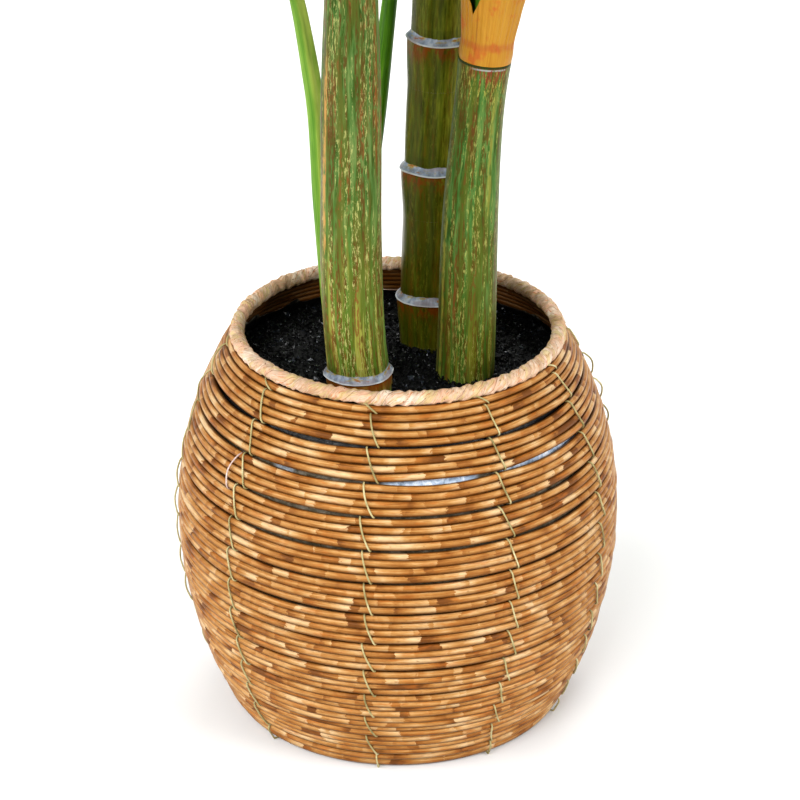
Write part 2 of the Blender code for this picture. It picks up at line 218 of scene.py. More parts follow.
def tube(batch, path, radii, sides, which=0, start=(0.3, 0.2, 1.0), caps=True, map_name="Flat", offset=0.0):
    """A round tube along an open path, with a domed end each side."""
    path = np.asarray(path, float)
    radii = np.broadcast_to(np.asarray(radii, float), (len(path),)).copy()
    _, a, b = carried_frames(path, start)
    if caps:
        d0, d1 = unit(path[0] - path[1]), unit(path[-1] - path[-2])
        path = np.concatenate([[path[0] + d0 * radii[0] * 0.8], path, [path[-1] + d1 * radii[-1] * 0.8]])
        radii = np.concatenate([[radii[0] * 0.15], radii, [radii[-1] * 0.15]])
        a, b = np.concatenate([a[:1], a, a[-1:]]), np.concatenate([b[:1], b, b[-1:]])
    turn = np.arange(sides) * 2 * math.pi / sides
    points = (path[:, None] + radii[:, None, None] * (np.cos(turn)[None, :, None] * a[:, None]
                                                      + np.sin(turn)[None, :, None] * b[:, None]))
    faces, corners = grid(len(path), sides)
    run = np.concatenate([[0], np.cumsum(np.linalg.norm(np.diff(path, axis=0), axis=1))]) + offset
    values = {map_name: np.stack([run[corners[..., 0]], corners[..., 1] / sides], -1)}
    batch.add(points.reshape(-1, 3), faces, which, **values)


# -------------------------------------------------------------- material building
class Paint:
    """A material's node tree, written as short sums of nodes."""

    def __init__(self, name, **fixed):
        self.material = bpy.data.materials.new(name)
        self.material.use_nodes = True
        self.tree = self.material.node_tree
        self.shader = self.tree.nodes["Principled BSDF"]
        for key, value in fixed.items():
            self.shader.inputs[key.replace("_", " ")].default_value = value

    def new(self, kind, **settings):
        node = self.tree.nodes.new(kind)
        for key, value in settings.items():
            setattr(node, key, value)
        return node

    def feed(self, socket, value):
        if isinstance(value, bpy.types.NodeSocket):
            self.tree.links.new(value, socket)
        elif isinstance(value, (tuple, list)) and len(value) == 3 and len(socket.default_value) == 4:
            socket.default_value = (*value, 1.0)
        else:
            socket.default_value = value

    def sum(self, op, a, b=0.0, c=0.0, clamp=False):
        node = self.new("ShaderNodeMath", operation=op, use_clamp=clamp)
        for socket, value in zip(node.inputs, (a, b, c)):
            self.feed(socket, value)
        return node.outputs[0]

    def map(self, name):
        node = self.new("ShaderNodeUVMap", uv_map=name)
        parts = self.new("ShaderNodeSeparateXYZ")
        self.tree.links.new(node.outputs[0], parts.inputs[0])
        return parts.outputs[0], parts.outputs[1]

    def point(self):
        return self.new("ShaderNodeTexCoord").outputs["Object"]

    def join(self, x, y=0.0, z=0.0):
        node = self.new("ShaderNodeCombineXYZ")
        for socket, value in zip(node.inputs, (x, y, z)):
            self.feed(socket, value)
        return node.outputs[0]

    def scaled(self, x, y, sx, sy, z=0.0):
        return self.join(self.sum("MULTIPLY", x, sx), self.sum("MULTIPLY", y, sy), z)

    def noise(self, vector, scale=1.0, detail=2.0, rough=0.5, warp=0.0):
        node = self.new("ShaderNodeTexNoise")
        self.feed(node.inputs["Vector"], vector)
        for key, value in (("Scale", scale), ("Detail", detail), ("Roughness", rough), ("Distortion", warp)):
            node.inputs[key].default_value = value
        return node.outputs["Fac"]

    def step(self, value, low, high, out_low=0.0, out_high=1.0):
        node = self.new("ShaderNodeMapRange", interpolation_type="SMOOTHSTEP")
        for key, v in (("Value", value), ("From Min", low), ("From Max", high), ("To Min", out_low), ("To Max", out_high)):
            self.feed(node.inputs[key], v)
        return node.outputs[0]

    def mix(self, share, a, b, blend="MIX"):
        node = self.new("ShaderNodeMix", data_type="RGBA", blend_type=blend)
        self.feed(node.inputs[0], share)
        self.feed(node.inputs[6], a)
        self.feed(node.inputs[7], b)
        return node.outputs[2]

    def ramp(self, value, *stops, mode="LINEAR"):
        node = self.new("ShaderNodeValToRGB")
        node.color_ramp.interpolation = mode
        while len(node.color_ramp.elements) < len(stops):
            node.color_ramp.elements.new(0.5)
        for element, (at, colour) in zip(node.color_ramp.elements, stops):
            element.position = at
            element.color = (*colour, 1.0)
        self.feed(node.inputs[0], value)
        return node.outputs[0]

    def bump(self, height, distance, strength=1.0, under=None):
        node = self.new("ShaderNodeBump")
        node.inputs["Strength"].default_value = strength
        node.inputs["Distance"].default_value = distance
        self.feed(node.inputs["Height"], height)
        if under is not None:
            self.feed(node.inputs["Normal"], under)
        return node.outputs[0]

    def done(self, colour=None, rough=None, normal=None):
        for key, value in (("Base Color", colour), ("Roughness", rough), ("Normal", normal)):
            if value is not None:
                self.feed(self.shader.inputs[key], value)
        return self.material


def rattan_paint():
    """Varnished peeled rattan: each strand in lengths that pale towards a sharp end and brown just past it."""
    p = Paint("rattan_strand", Specular_IOR_Level=0.30, Specular_Tint=(0.95, 0.66, 0.42, 1.0))
    along, row = p.map("Flat")
    strand = p.sum("FLOOR", row)
    around = p.sum("FRACT", row)
    # A strand's lengths: cells of a one-dimensional Voronoi, shifted round the strand so that an end may be slant.
    shift = p.sum("MULTIPLY", strand, 37.73)
    lean = p.sum("MULTIPLY", p.sum("SUBTRACT", p.noise(p.join(p.sum("MULTIPLY", along, 16.0), strand), 1.0, 1.0), 0.5), 2.6)
    slant = p.sum("MULTIPLY", lean, p.sum("SUBTRACT", around, 0.5))
    wobble = p.sum("MULTIPLY", p.sum("SUBTRACT", p.noise(p.join(p.sum("MULTIPLY", along, 380.0), p.sum("MULTIPLY", around, 14.0), strand), 1.0, 2.0), 0.5), 0.22)

    def lengths(scale, spot):
        w = p.sum("ADD", p.sum("ADD", p.sum("MULTIPLY_ADD", along, scale, shift), spot), p.sum("ADD", slant, wobble))
        cell = p.new("ShaderNodeTexVoronoi", voronoi_dimensions="1D", feature="F1")
        p.feed(cell.inputs["W"], w)
        cell.inputs["Scale"].default_value = 1.0
        cell.inputs["Randomness"].default_value = 0.9
        tones = p.new("ShaderNodeSeparateColor")
        p.tree.links.new(cell.outputs["Color"], tones.inputs[0])
        off = p.sum("SUBTRACT", w, cell.outputs["W"])
        bent = p.sum("MULTIPLY", p.sum("POWER", p.sum("ABSOLUTE", p.sum("MULTIPLY", off, 2.0)), 1.7), 0.5)
        return p.sum("MULTIPLY", p.sum("SIGN", off), bent), tones.outputs

    off, tone = lengths(30.0, 0.0)
    way = p.sum("SIGN", p.sum("SUBTRACT", tone[1], 0.28))
    size = p.sum("MULTIPLY_ADD", p.sum("POWER", tone[2], 1.5), 1.05, 0.12)
    value = p.sum("ADD", p.sum("MULTIPLY_ADD", tone[0], 0.12, 0.42), p.sum("MULTIPLY", off, p.sum("MULTIPLY", way, size)))
    off2, tone2 = lengths(57.0, 5.31)
    value = p.sum("ADD", value, p.sum("MULTIPLY", p.sum("MULTIPLY", off2, p.sum("SIGN", p.sum("SUBTRACT", tone2[1], 0.4))), 0.28))
    cloud = p.noise(p.join(p.sum("MULTIPLY", along, 62.0), p.sum("MULTIPLY", around, 3.0), p.sum("MULTIPLY", strand, 3.1)), 1.0, 4.0, 0.66)
    value = p.sum("ADD", value, p.sum("MULTIPLY", p.sum("SUBTRACT", cloud, 0.5), 0.74))
    streak = p.noise(p.join(p.sum("MULTIPLY", along, 34.0), p.sum("MULTIPLY", around, 19.0), p.sum("MULTIPLY", strand, 2.3)), 1.0, 2.0, 0.6)
    value = p.sum("ADD", value, p.sum("MULTIPLY", p.sum("SUBTRACT", streak, 0.5), 0.85))
    colour = p.ramp(value, (0.02, (0.140, 0.050, 0.013)), (0.20, (0.250, 0.096, 0.022)), (0.36, (0.350, 0.156, 0.042)),
                    (0.50, (0.430, 0.216, 0.070)), (0.63, (0.500, 0.284, 0.114)), (0.78, (0.565, 0.360, 0.172)), (0.96, (0.625, 0.435, 0.240)))
    blush = p.noise(p.join(p.sum("MULTIPLY", along, 70.0), p.sum("MULTIPLY", around, 5.0), p.sum("MULTIPLY", strand, 1.7)), 1.0, 2.0, 0.6)
    colour = p.mix(p.step(blush, 0.52, 0.68, 0.0, 0.50), colour, (0.405, 0.130, 0.022))
    grain = p.noise(p.join(p.sum("MULTIPLY", along, 110.0), p.sum("MULTIPLY", around, 34.0), strand), 1.0, 3.0, 0.65)
    colour = p.mix(p.step(grain, 0.50, 0.72, 0.0, 0.50), colour, (0.230, 0.082, 0.014))
    dots = p.noise(p.join(p.sum("MULTIPLY", along, 240.0), p.sum("MULTIPLY", around, 8.0), strand), 1.0, 1.0)
    colour = p.mix(p.step(dots, 0.67, 0.76, 0.0, 0.50), colour, (0.190, 0.070, 0.022))
    # Painted shade: the strands darken where they touch, most along each strand's lower side.
    colour = p.mix(p.step(around, 0.39, 0.62, 0.90, 0.0), colour, (0.090, 0.029, 0.002))
    colour = p.mix(p.step(around, 0.665, 0.720, 0.0, 0.78), colour, (0.080, 0.026, 0.002))
    rough = p.step(grain, 0.2, 0.8, 0.30, 0.46)
    return p.done(colour, rough, p.bump(grain, 0.00022, 0.6))


def rim_paint():
    """Dry pale pith strip wound slantwise round the rim roll."""
    p = Paint("rim_strip", Specular_IOR_Level=0.15)
    wrap, across = p.map("Flat")          # wraps counted along the roll; across each wrap's own width
    cell = p.sum("FLOOR", wrap)
    own = p.noise(p.join(p.sum("MULTIPLY", cell, 7.31), 0.5, 0.5), 1.0, 0.0)
    bent = p.sum("MULTIPLY_ADD", p.sum("SUBTRACT", p.noise(p.point(), 60.0, 2.0, 0.5), 0.5), 1.2, wrap)
    fibre = p.noise(p.join(p.sum("MULTIPLY", bent, 5.0), p.sum("MULTIPLY", across, 0.55), p.sum("MULTIPLY", cell, 1.7)), 1.0, 4.0, 0.66)
    fine = p.noise(p.join(p.sum("MULTIPLY", bent, 15.0), p.sum("MULTIPLY", across, 1.1), cell), 1.0, 3.0, 0.68)
    cloud = p.noise(p.point(), 42.0, 3.0, 0.65)
    colour = p.ramp(p.sum("MULTIPLY_ADD", own, 0.26, p.sum("MULTIPLY_ADD", cloud, 0.30, p.sum("MULTIPLY", fibre, 0.44))),
                    (0.36, (0.400, 0.240, 0.120)), (0.43, (0.562, 0.370, 0.240)), (0.51, (0.655, 0.470, 0.344)), (0.60, (0.745, 0.608, 0.500)))
    pink = p.noise(p.point(), 90.0, 2.0, 0.55)
    colour = p.mix(p.step(pink, 0.50, 0.62, 0.0, 0.55), colour, (0.760, 0.430, 0.300))
    straw = p.noise(p.join(p.sum("MULTIPLY", bent, 2.6), p.sum("MULTIPLY", across, 0.4), 4.7), 1.0, 2.0, 0.6)
    colour = p.mix(p.step(straw, 0.50, 0.64, 0.0, 0.60), colour, (0.560, 0.440, 0.180))
    crack = p.noise(p.join(p.sum("MULTIPLY", bent, 24.0), p.sum("MULTIPLY", across, 0.9), cell), 1.0, 2.0, 0.6)
    colour = p.mix(p.step(crack, 0.56, 0.64, 0.0, 0.66), colour, (0.330, 0.165, 0.075))
    colour = p.mix(p.step(fine, 0.56, 0.68, 0.0, 0.42), colour, (0.430, 0.240, 0.130))
    rust = p.noise(p.join(p.sum("MULTIPLY", bent, 9.0), p.sum("MULTIPLY", across, 1.6), p.sum("MULTIPLY", cell, 3.3)), 1.0, 2.0, 0.5)
    colour = p.mix(p.step(rust, 0.60, 0.68, 0.0, 0.75), colour, (0.540, 0.210, 0.085))
    specks = p.noise(p.point(), 330.0, 1.0, 0.5)
    colour = p.mix(p.step(specks, 0.71, 0.77, 0.0, 0.75), colour, (0.150, 0.065, 0.030))
    edge = p.sum("FRACT", wrap)
    shown = p.step(cloud, 0.42, 0.58, 0.15, 0.70)
    colour = p.mix(p.sum("MULTIPLY", p.step(edge, 0.90, 1.0), shown), colour, (0.230, 0.110, 0.050))
    return p.done(colour, 0.62, p.bump(p.sum("ADD", p.sum("MULTIPLY", fibre, 0.8), fine), 0.0011, 0.9))


def twine_paint(name, low, mid, high):
    p = Paint(name, Specular_IOR_Level=0.3, Roughness=0.5)
    run, around = p.map("Flat")
    twist = p.sum("SINE", p.sum("MULTIPLY_ADD", run, 5200.0, p.sum("MULTIPLY", around, 2 * math.pi)))
    cloud = p.noise(p.point(), 70.0, 2.0, 0.5)
    return p.done(p.ramp(cloud, (0.30, low), (0.50, mid), (0.70, high)), None, p.bump(twist, 0.00012, 0.5))


def liner_paint():
    """Crumpled grey film, painted near black as shade high up and towards the bottom, with painted silvery blue
    reflections where the front slits gape.
    """
    p = Paint("liner_film", Specular_IOR_Level=0.3)
    place_ = p.point()
    parts = p.new("ShaderNodeSeparateXYZ")
    p.feed(parts.inputs[0], place_)
    x, y, z = parts.outputs
    crumple = p.noise(place_, 150.0, 4.0, 0.65, 0.6)
    # Painted reflection: silvery blue panes behind the front slits of one band, and some at the left; none at one
    # stitch column, which stays dark as painted shade.
    high = p.sum("MULTIPLY", p.step(z, 0.2160, 0.2200), p.step(z, 0.2350, 0.2400, 1.0, 0.0))
    wide = p.step(x, -0.014, -0.004)
    notch = p.sum("SUBTRACT", 1.0, p.sum("MULTIPLY", p.step(x, 0.0480, 0.0530), p.step(x, 0.0640, 0.0690, 1.0, 0.0)))
    pane = p.sum("MULTIPLY", p.sum("MULTIPLY", wide, notch), p.step(y, -0.02, -0.05))
    left = p.sum("MULTIPLY", p.sum("MULTIPLY", p.step(x, -0.082, -0.077), p.step(x, -0.070, -0.065, 1.0, 0.0)), p.step(y, -0.02, -0.05))
    bright = p.sum("MULTIPLY", high, p.sum("MAXIMUM", pane, p.sum("MULTIPLY", left, 0.4)))
    grey = p.ramp(crumple, (0.30, (0.058, 0.045, 0.026)), (0.52, (0.120, 0.098, 0.064)), (0.74, (0.240, 0.205, 0.160)))
    silver = p.ramp(crumple, (0.34, (0.24, 0.31, 0.40)), (0.50, (0.48, 0.58, 0.72)), (0.62, (0.80, 0.86, 0.95)), (0.72, (1.0, 1.0, 1.0)))
    # Painted shade: the film goes near black above this height and towards the bottom.
    shade = p.step(z, 0.236, 0.240)
    grey = p.mix(p.step(z, 0.110, 0.170, 0.92, 0.0), grey, (0.008, 0.005, 0.003))
    dark = p.mix(shade, grey, (0.006, 0.005, 0.005))
    over = p.step(z, 0.2500, 0.2530)
    bits = p.ramp(crumple, (0.44, (0.014, 0.012, 0.010)), (0.53, (0.090, 0.075, 0.050)), (0.60, (0.180, 0.165, 0.140)), (0.68, (0.42, 0.41, 0.40)))
    dark = p.mix(over, dark, bits)
    return p.done(p.mix(bright, dark, silver), p.step(crumple, 0.3, 0.7, 0.25, 0.5), p.bump(crumple, 0.0015, 0.9))


def bed_paint():
    p = Paint("filling_bed", Specular_IOR_Level=0.2, Roughness=0.7)
    n = p.noise(p.point(), 420.0, 3.0, 0.6)
    return p.done(p.ramp(n, (0.35, (0.002, 0.002, 0.0025)), (0.7, (0.010, 0.010, 0.011))), None, p.bump(n, 0.002, 1.0))


def crumb_paint(name, colour, rough, specular):
    p = Paint(name, Specular_IOR_Level=specular, Roughness=rough)
    n = p.noise(p.point(), 700.0, 2.0, 0.5)
    low = tuple(c * 0.4 for c in colour)
    return p.done(p.ramp(n, (0.35, low), (0.65, colour)), None, p.bump(n, 0.0006, 0.8))


def bark_paint(name, greens, khaki, brown, rust, cream, amounts, shade, gloss, collar=None, streaks=(), painted_light_side=None, under_least=0.10,
               spread=(0.41, 0.47, 0.53, 0.59), dull_share=0.80, foot=None):
    """Moulded cane bark: green with upright streaks of brown, rust and cream flecks, and a waxy chamfer over each ring.

    The Bark map is metres round and up the cane; the Ring map's second value is metres above the nearest ring's ledge.
    collar is the height under which the bark is streaked with red and a dark line is painted as the shadow just under
    it, streaks are long marks: (round, half width, low, high, colour, amount), and sunny is where round the cane a
    yellower band is painted as light falling on that side: (round, width, colour).
    """
    p = Paint(name, Coat_Weight=gloss[1], Coat_Roughness=0.3)
    u, v = p.map("Bark")
    _, ring = p.map("Ring")
    wave = p.sum("MULTIPLY_ADD", p.sum("SUBTRACT", p.noise(p.scaled(u, v, 40.0, 15.0, 3.0), 1.0, 1.0), 0.5), 0.0036, u)
    tone = p.noise(p.scaled(wave, v, 190.0, 24.0, 0.0), 1.0, 4.0, 0.66)
    fine = p.noise(p.scaled(wave, v, 620.0, 46.0, 5.0), 1.0, 3.0, 0.6)
    colour = p.ramp(p.sum("ADD", p.sum("MULTIPLY", tone, 0.6), p.sum("MULTIPLY", fine, 0.4)),
                    *zip(spread, greens))
    dull = p.noise(p.scaled(wave, v, 175.0, 10.0, 17.0), 1.0, 3.0, 0.6)
    colour = p.mix(p.step(dull, 0.46, 0.58, 0.0, dull_share), colour, khaki)
    if foot is not None:
        height = p.sum("MULTIPLY_ADD", p.sum("SUBTRACT", dull, 0.5), 0.16, v)
        colour = p.mix(p.step(height, foot[0], foot[1], foot[3], 0.0), colour, foot[2])
        wide = p.noise(p.scaled(wave, v, 210.0, 9.0, 19.0), 1.0, 2.0, 0.5)
        colour = p.mix(p.sum("MULTIPLY", p.step(wide, 0.53, 0.60), p.step(height, foot[0], foot[1], 0.75, 0.0)), colour, foot[4])
    # Painted light: a yellower band down one side of the cane, where light falls on it.
    if painted_light_side is not None:
        away = p.sum("ABSOLUTE", p.sum("SUBTRACT", p.sum("MULTIPLY_ADD", p.sum("SUBTRACT", fine, 0.5), 0.012, u), painted_light_side[0]))
        colour = p.mix(p.sum("MULTIPLY", p.step(away, 0.0, painted_light_side[1], 1.0, 0.0), p.step(fine, 0.36, 0.62, 0.25, 1.0)), colour, painted_light_side[2])
    # brown in upright dotted runs
    run = p.noise(p.scaled(wave, v, 290.0, 8.0, 11.0), 1.0, 2.0, 0.5)
    chip = p.noise(p.scaled(wave, v, 760.0, 120.0, 21.0), 1.0, 3.0, 0.62)
    browned = p.sum("MULTIPLY", p.step(run, 0.48, 0.57), p.step(chip, 0.42, 0.55))
    colour = p.mix(p.sum("MULTIPLY", browned, amounts[0]), colour, brown)
    rusty = p.noise(p.scaled(wave, v, 290.0, 14.0, 31.0), 1.0, 2.0, 0.5)
    there = p.noise(p.scaled(wave, v, 800.0, 170.0, 37.0), 1.0, 2.0, 0.5)
    colour = p.mix(p.sum("MULTIPLY", p.sum("MULTIPLY", p.step(rusty, 0.54, 0.61), p.step(there, 0.47, 0.56)), amounts[1]), colour, rust)
    lines = p.noise(p.scaled(wave, v, 310.0, 9.0, 41.0), 1.0, 2.0, 0.5)
    flecks = p.noise(p.scaled(wave, v, 900.0, 165.0, 43.0), 1.0, 4.0, 0.74)
    creamy = p.sum("MULTIPLY", p.step(flecks, 0.52, 0.58), p.step(lines, 0.48, 0.56))
    colour = p.mix(p.sum("MULTIPLY", creamy, amounts[2]), colour, cream)
    for middle, half, low, high, mark, share in streaks:
        away = p.sum("ABSOLUTE", p.sum("SUBTRACT", p.sum("MULTIPLY_ADD", p.sum("SUBTRACT", tone, 0.5), 0.005, u), middle))
        height = p.sum("MULTIPLY", p.step(v, low, low + 0.03), p.step(v, high - 0.03, high, 1.0, 0.0))
        warm = p.sum("MULTIPLY", p.sum("MULTIPLY", p.step(away, half * 0.3, half, 1.0, 0.0), height), p.step(chip, 0.36, 0.52))
        colour = p.mix(p.sum("MULTIPLY", warm, share), colour, mark)
    # Under each ring the bark browns; just over it there is a waxy chamfer with a torn green edge.
    torn = p.noise(p.scaled(u, v, 330.0, 20.0, 51.0), 1.0, 3.0, 0.7)
    wavy = p.noise(p.scaled(u, v, 60.0, 9.0, 53.0), 1.0, 2.0, 0.5)
    drift = p.noise(p.scaled(u, v, 190.0, 90.0, 57.0), 1.0, 3.0, 0.6)
    depth = p.sum("MULTIPLY_ADD", torn, -0.040, 0.004)
    under = p.sum("MULTIPLY", p.step(ring, depth, p.sum("MULTIPLY", depth, 0.15)), p.sum("LESS_THAN", ring, 0.00002))
    colour = p.mix(p.sum("MULTIPLY", under, p.step(drift, 0.44, 0.56, under_least, 0.94)), colour, shade)
    lip = p.sum("MULTIPLY", p.sum("LESS_THAN", ring, 0.00002), p.sum("GREATER_THAN", ring, -0.0011))
    colour = p.mix(p.sum("MULTIPLY", lip, p.step(drift, 0.36, 0.56, 0.35, 0.9)), colour, rust)
    edge = p.sum("MULTIPLY_ADD", wavy, 0.0050, p.sum("MULTIPLY_ADD", torn, 0.0012, 0.0020))
    wax = p.sum("MULTIPLY", p.sum("GREATER_THAN", ring, -0.0002), p.step(p.sum("SUBTRACT", ring, edge), -0.0003, 0.0001, 1.0, 0.0))
    bluish = p.noise(p.scaled(u, v, 260.0, 160.0, 61.0), 1.0, 3.0, 0.6)
    waxy = p.ramp(bluish, (0.34, (0.130, 0.146, 0.172)), (0.50, (0.215, 0.250, 0.315)), (0.66, (0.360, 0.388, 0.435)))
    waxy = p.mix(p.step(ring, 0.0003, 0.0009, 0.85, 0.0), waxy, (0.520, 0.535, 0.540))
    flaw = p.noise(p.scaled(u, v, 130.0, 330.0, 67.0), 1.0, 3.0, 0.6)
    stain = p.noise(p.scaled(u, v, 60.0, 130.0, 69.0), 1.0, 2.0, 0.5)
    waxy = p.mix(p.step(stain, 0.52, 0.60, 0.0, 0.58), waxy, (0.230, 0.190, 0.200))
    waxy = p.mix(p.sum("MULTIPLY", p.sum("MULTIPLY", p.step(flaw, 0.50, 0.58), p.step(stain, 0.50, 0.58, 1.0, 0.1)), p.step(ring, 0.0014, 0.0030, 0.0, 0.80)), waxy, (0.300, 0.230, 0.045))
    waxy = p.mix(p.sum("MULTIPLY", p.step(flaw, 0.59, 0.65), p.step(ring, 0.0010, 0.0020, 0.1, 0.85)), waxy, (0.260, 0.095, 0.018))
    colour = p.mix(wax, colour, waxy)
    over = p.sum("MULTIPLY", p.sum("GREATER_THAN", ring, edge), p.step(ring, 0.0030, 0.0200, 1.0, 0.0))
    colour = p.mix(p.sum("MULTIPLY", over, 0.28), colour, tuple(c * 0.55 for c in greens[0]))
    if collar is not None:
        close = p.sum("SUBTRACT", collar, v)
        tongue = p.noise(p.scaled(wave, v, 400.0, 9.0, 71.0), 1.0, 3.0, 0.6)
        reach = p.sum("MAXIMUM", p.sum("MULTIPLY_ADD", tongue, 0.090, -0.036), 0.0006)
        aside = p.sum("ABSOLUTE", p.sum("SUBTRACT", u, 0.0640))
        red = p.sum("MULTIPLY", p.sum("MULTIPLY", p.step(close, p.sum("MULTIPLY", reach, 0.5), reach, 1.0, 0.0), p.step(chip, 0.44, 0.54, 0.15, 0.95)), p.step(aside, 0.008, 0.018, 1.0, 0.25))
        gold = p.sum("MULTIPLY", p.step(close, 0.001, 0.006), p.step(close, 0.012, 0.034, 1.0, 0.0))
        colour = p.mix(p.sum("MULTIPLY", gold, p.sum("MULTIPLY", p.step(flecks, 0.50, 0.57, 0.0, 0.80), p.step(tongue, 0.45, 0.56))), colour, (0.330, 0.300, 0.065))
        colour = p.mix(red, colour, (0.190, 0.040, 0.018))
        pale = p.sum("MULTIPLY", p.sum("MULTIPLY", p.step(close, 0.0014, 0.0018), p.step(close, 0.0024, 0.0030, 1.0, 0.0)), p.step(aside, 0.010, 0.017, 1.0, 0.0))
        colour = p.mix(p.sum("MULTIPLY", pale, p.step(drift, 0.42, 0.54, 0.0, 0.8)), colour, (0.300, 0.310, 0.300))
        # Painted shadow: a dark line just under the collar, under the sheath.
        colour = p.mix(p.step(close, 0.0010, 0.0016, 0.9, 0.0), colour, (0.022, 0.035, 0.010))
    height = p.sum("ADD", p.sum("MULTIPLY", fine, 0.6), p.sum("MULTIPLY", chip, 0.5))
    rough = p.step(fine, 0.3, 0.7, gloss[2], gloss[3])
    facing = p.new("ShaderNodeLayerWeight")
    facing.inputs["Blend"].default_value = 0.5
    p.feed(p.shader.inputs["Specular IOR Level"], p.step(facing.outputs["Facing"], 0.45, 0.95, gloss[0], gloss[4]))
    return p.done(colour, rough, p.bump(height, 0.0006, 0.55))


def sheath_paint():
    p = Paint("sheath_skin", Specular_IOR_Level=0.2, Coat_Weight=0.04, Coat_Roughness=0.35)
    u, v = p.map("Bark")
    fine = p.noise(p.scaled(u, v, 620.0, 7.0, 0.0), 1.0, 3.0, 0.6)
    tone = p.noise(p.scaled(u, v, 90.0, 18.0, 7.0), 1.0, 3.0, 0.55)
    colour = p.ramp(p.sum("ADD", p.sum("MULTIPLY", tone, 0.45), p.sum("MULTIPLY", fine, 0.55)),
                    (0.36, (0.310, 0.122, 0.0070)), (0.48, (0.386, 0.180, 0.0125)), (0.64, (0.432, 0.225, 0.0240)))
    red = p.noise(p.scaled(u, v, 75.0, 55.0, 17.0), 1.0, 3.0, 0.6)
    colour = p.mix(p.step(red, 0.52, 0.66, 0.0, 0.70), colour, (0.400, 0.080, 0.012))
    band = p.sum("MULTIPLY", p.step(v, 0.0085, 0.0115), p.step(v, 0.0130, 0.0165, 1.0, 0.0))
    colour = p.mix(p.sum("MULTIPLY", band, p.step(red, 0.36, 0.56, 0.10, 0.60)), colour, (0.340, 0.090, 0.014))
    ragged = p.step(v, 0.060, 0.092)
    colour = p.mix(p.sum("MULTIPLY", ragged, p.step(fine, 0.44, 0.60, 0.2, 0.8)), colour, (0.330, 0.150, 0.030))
    return p.done(colour, p.step(fine, 0.3, 0.7, 0.38, 0.52), p.bump(fine, 0.0005, 0.50))


def stalk_paint(name, low, mid, high, pale):
    """Fleshy stalk, paler along its channel. The Bark map is (share round from the channel's middle, metres up)."""
    p = Paint(name, Specular_IOR_Level=0.2, Coat_Weight=0.05, Coat_Roughness=0.3)
    u, v = p.map("Bark")
    fine = p.noise(p.scaled(u, v, 46.0, 9.0, 0.0), 1.0, 3.0, 0.6)
    tone = p.noise(p.scaled(u, v, 5.0, 22.0, 9.0), 1.0, 2.0, 0.5)
    colour = p.ramp(p.sum("ADD", p.sum("MULTIPLY", tone, 0.5), p.sum("MULTIPLY", fine, 0.5)), (0.38, low), (0.50, mid), (0.62, high))
    inside = p.step(p.sum("ABSOLUTE", u), 0.09, 0.19, 1.0, 0.0)
    colour = p.mix(p.sum("MULTIPLY", inside, p.step(tone, 0.32, 0.55, 0.35, 0.95)), colour, pale)
    rib = p.sum("MULTIPLY", p.step(p.sum("ABSOLUTE", u), 0.15, 0.19), p.step(p.sum("ABSOLUTE", u), 0.21, 0.26, 1.0, 0.0))
    colour = p.mix(p.sum("MULTIPLY", rib, 0.5), colour, low)
    return p.done(colour, p.step(fine, 0.3, 0.7, 0.36, 0.5), p.bump(fine, 0.0005, 0.4))


def leaf_paint(name, deep, mid, light, near, rough, coat):
    """Leaf cloth. The Vein map counts the side veins (a whole number on each) beside metres from one to the next; the
    Blade map holds metres from the midrib and the share of the way to the edge."""
    p = Paint(name, Specular_IOR_Level=0.35, Coat_Weight=coat, Coat_Roughness=0.28)
    place_, gap = p.map("Vein")
    middle, out = p.map("Blade")
    far = p.sum("MULTIPLY", p.sum("ABSOLUTE", p.sum("SUBTRACT", place_, p.sum("FLOOR", p.sum("ADD", place_, 0.5)))), gap)
    spot = p.point()
    cloud = p.noise(spot, 28.0, 3.0, 0.55)
    patch = p.noise(spot, 9.0, 2.0, 0.5)
    cells = p.new("ShaderNodeTexVoronoi", feature="DISTANCE_TO_EDGE")
    p.feed(cells.inputs["Vector"], spot)
    cells.inputs["Scale"].default_value = 230.0
    nerve = p.step(cells.outputs["Distance"], 0.0, 0.14)
    colour = p.ramp(p.sum("ADD", p.sum("MULTIPLY", cloud, 0.6), p.sum("MULTIPLY", patch, 0.4)), (0.36, deep), (0.50, mid), (0.64, light))
    ragged = p.sum("MULTIPLY_ADD", p.sum("SUBTRACT", cloud, 0.5), 0.0045, far)
    colour = p.mix(p.step(ragged, 0.0002, 0.0058, 0.50, 0.0), colour, near)
    colour = p.mix(p.step(middle, 0.0008, 0.0075, 0.70, 0.0), colour, near)
    colour = p.mix(p.sum("MULTIPLY", p.sum("SUBTRACT", 1.0, nerve), 0.20), colour, near)
    colour = p.mix(p.step(out, 0.980, 0.996, 0.0, 0.60), colour, near)
    height = p.sum("ADD", nerve, p.step(far, 0.0, 0.0060, 0.0, 2.5))
    return p.done(colour, p.step(cloud, 0.3, 0.7, rough, rough + 0.10), p.bump(height, 0.0004, 0.45))


def vein_paint(name, low, high):
    p = Paint(name, Specular_IOR_Level=0.4)
    n = p.noise(p.point(), 90.0, 3.0, 0.6)
    return p.done(p.ramp(n, (0.35, low), (0.65, high)), 0.42, p.bump(n, 0.0003, 0.3))


def floor_board_paint():
    p = Paint("base_board", Specular_IOR_Level=0.3)
    parts = p.new("ShaderNodeSeparateXYZ")
    p.feed(parts.inputs[0], p.point())
    x, y, _ = parts.outputs
    grain = p.noise(p.scaled(x, y, 18.0, 260.0), 1.0, 4.0, 0.6, 0.4)
    colour = p.ramp(grain, (0.30, (0.30, 0.16, 0.07)), (0.55, (0.52, 0.31, 0.15)), (0.75, (0.64, 0.42, 0.23)))
    return p.done(colour, p.step(grain, 0.3, 0.7, 0.5, 0.7), p.bump(grain, 0.0006, 0.6))


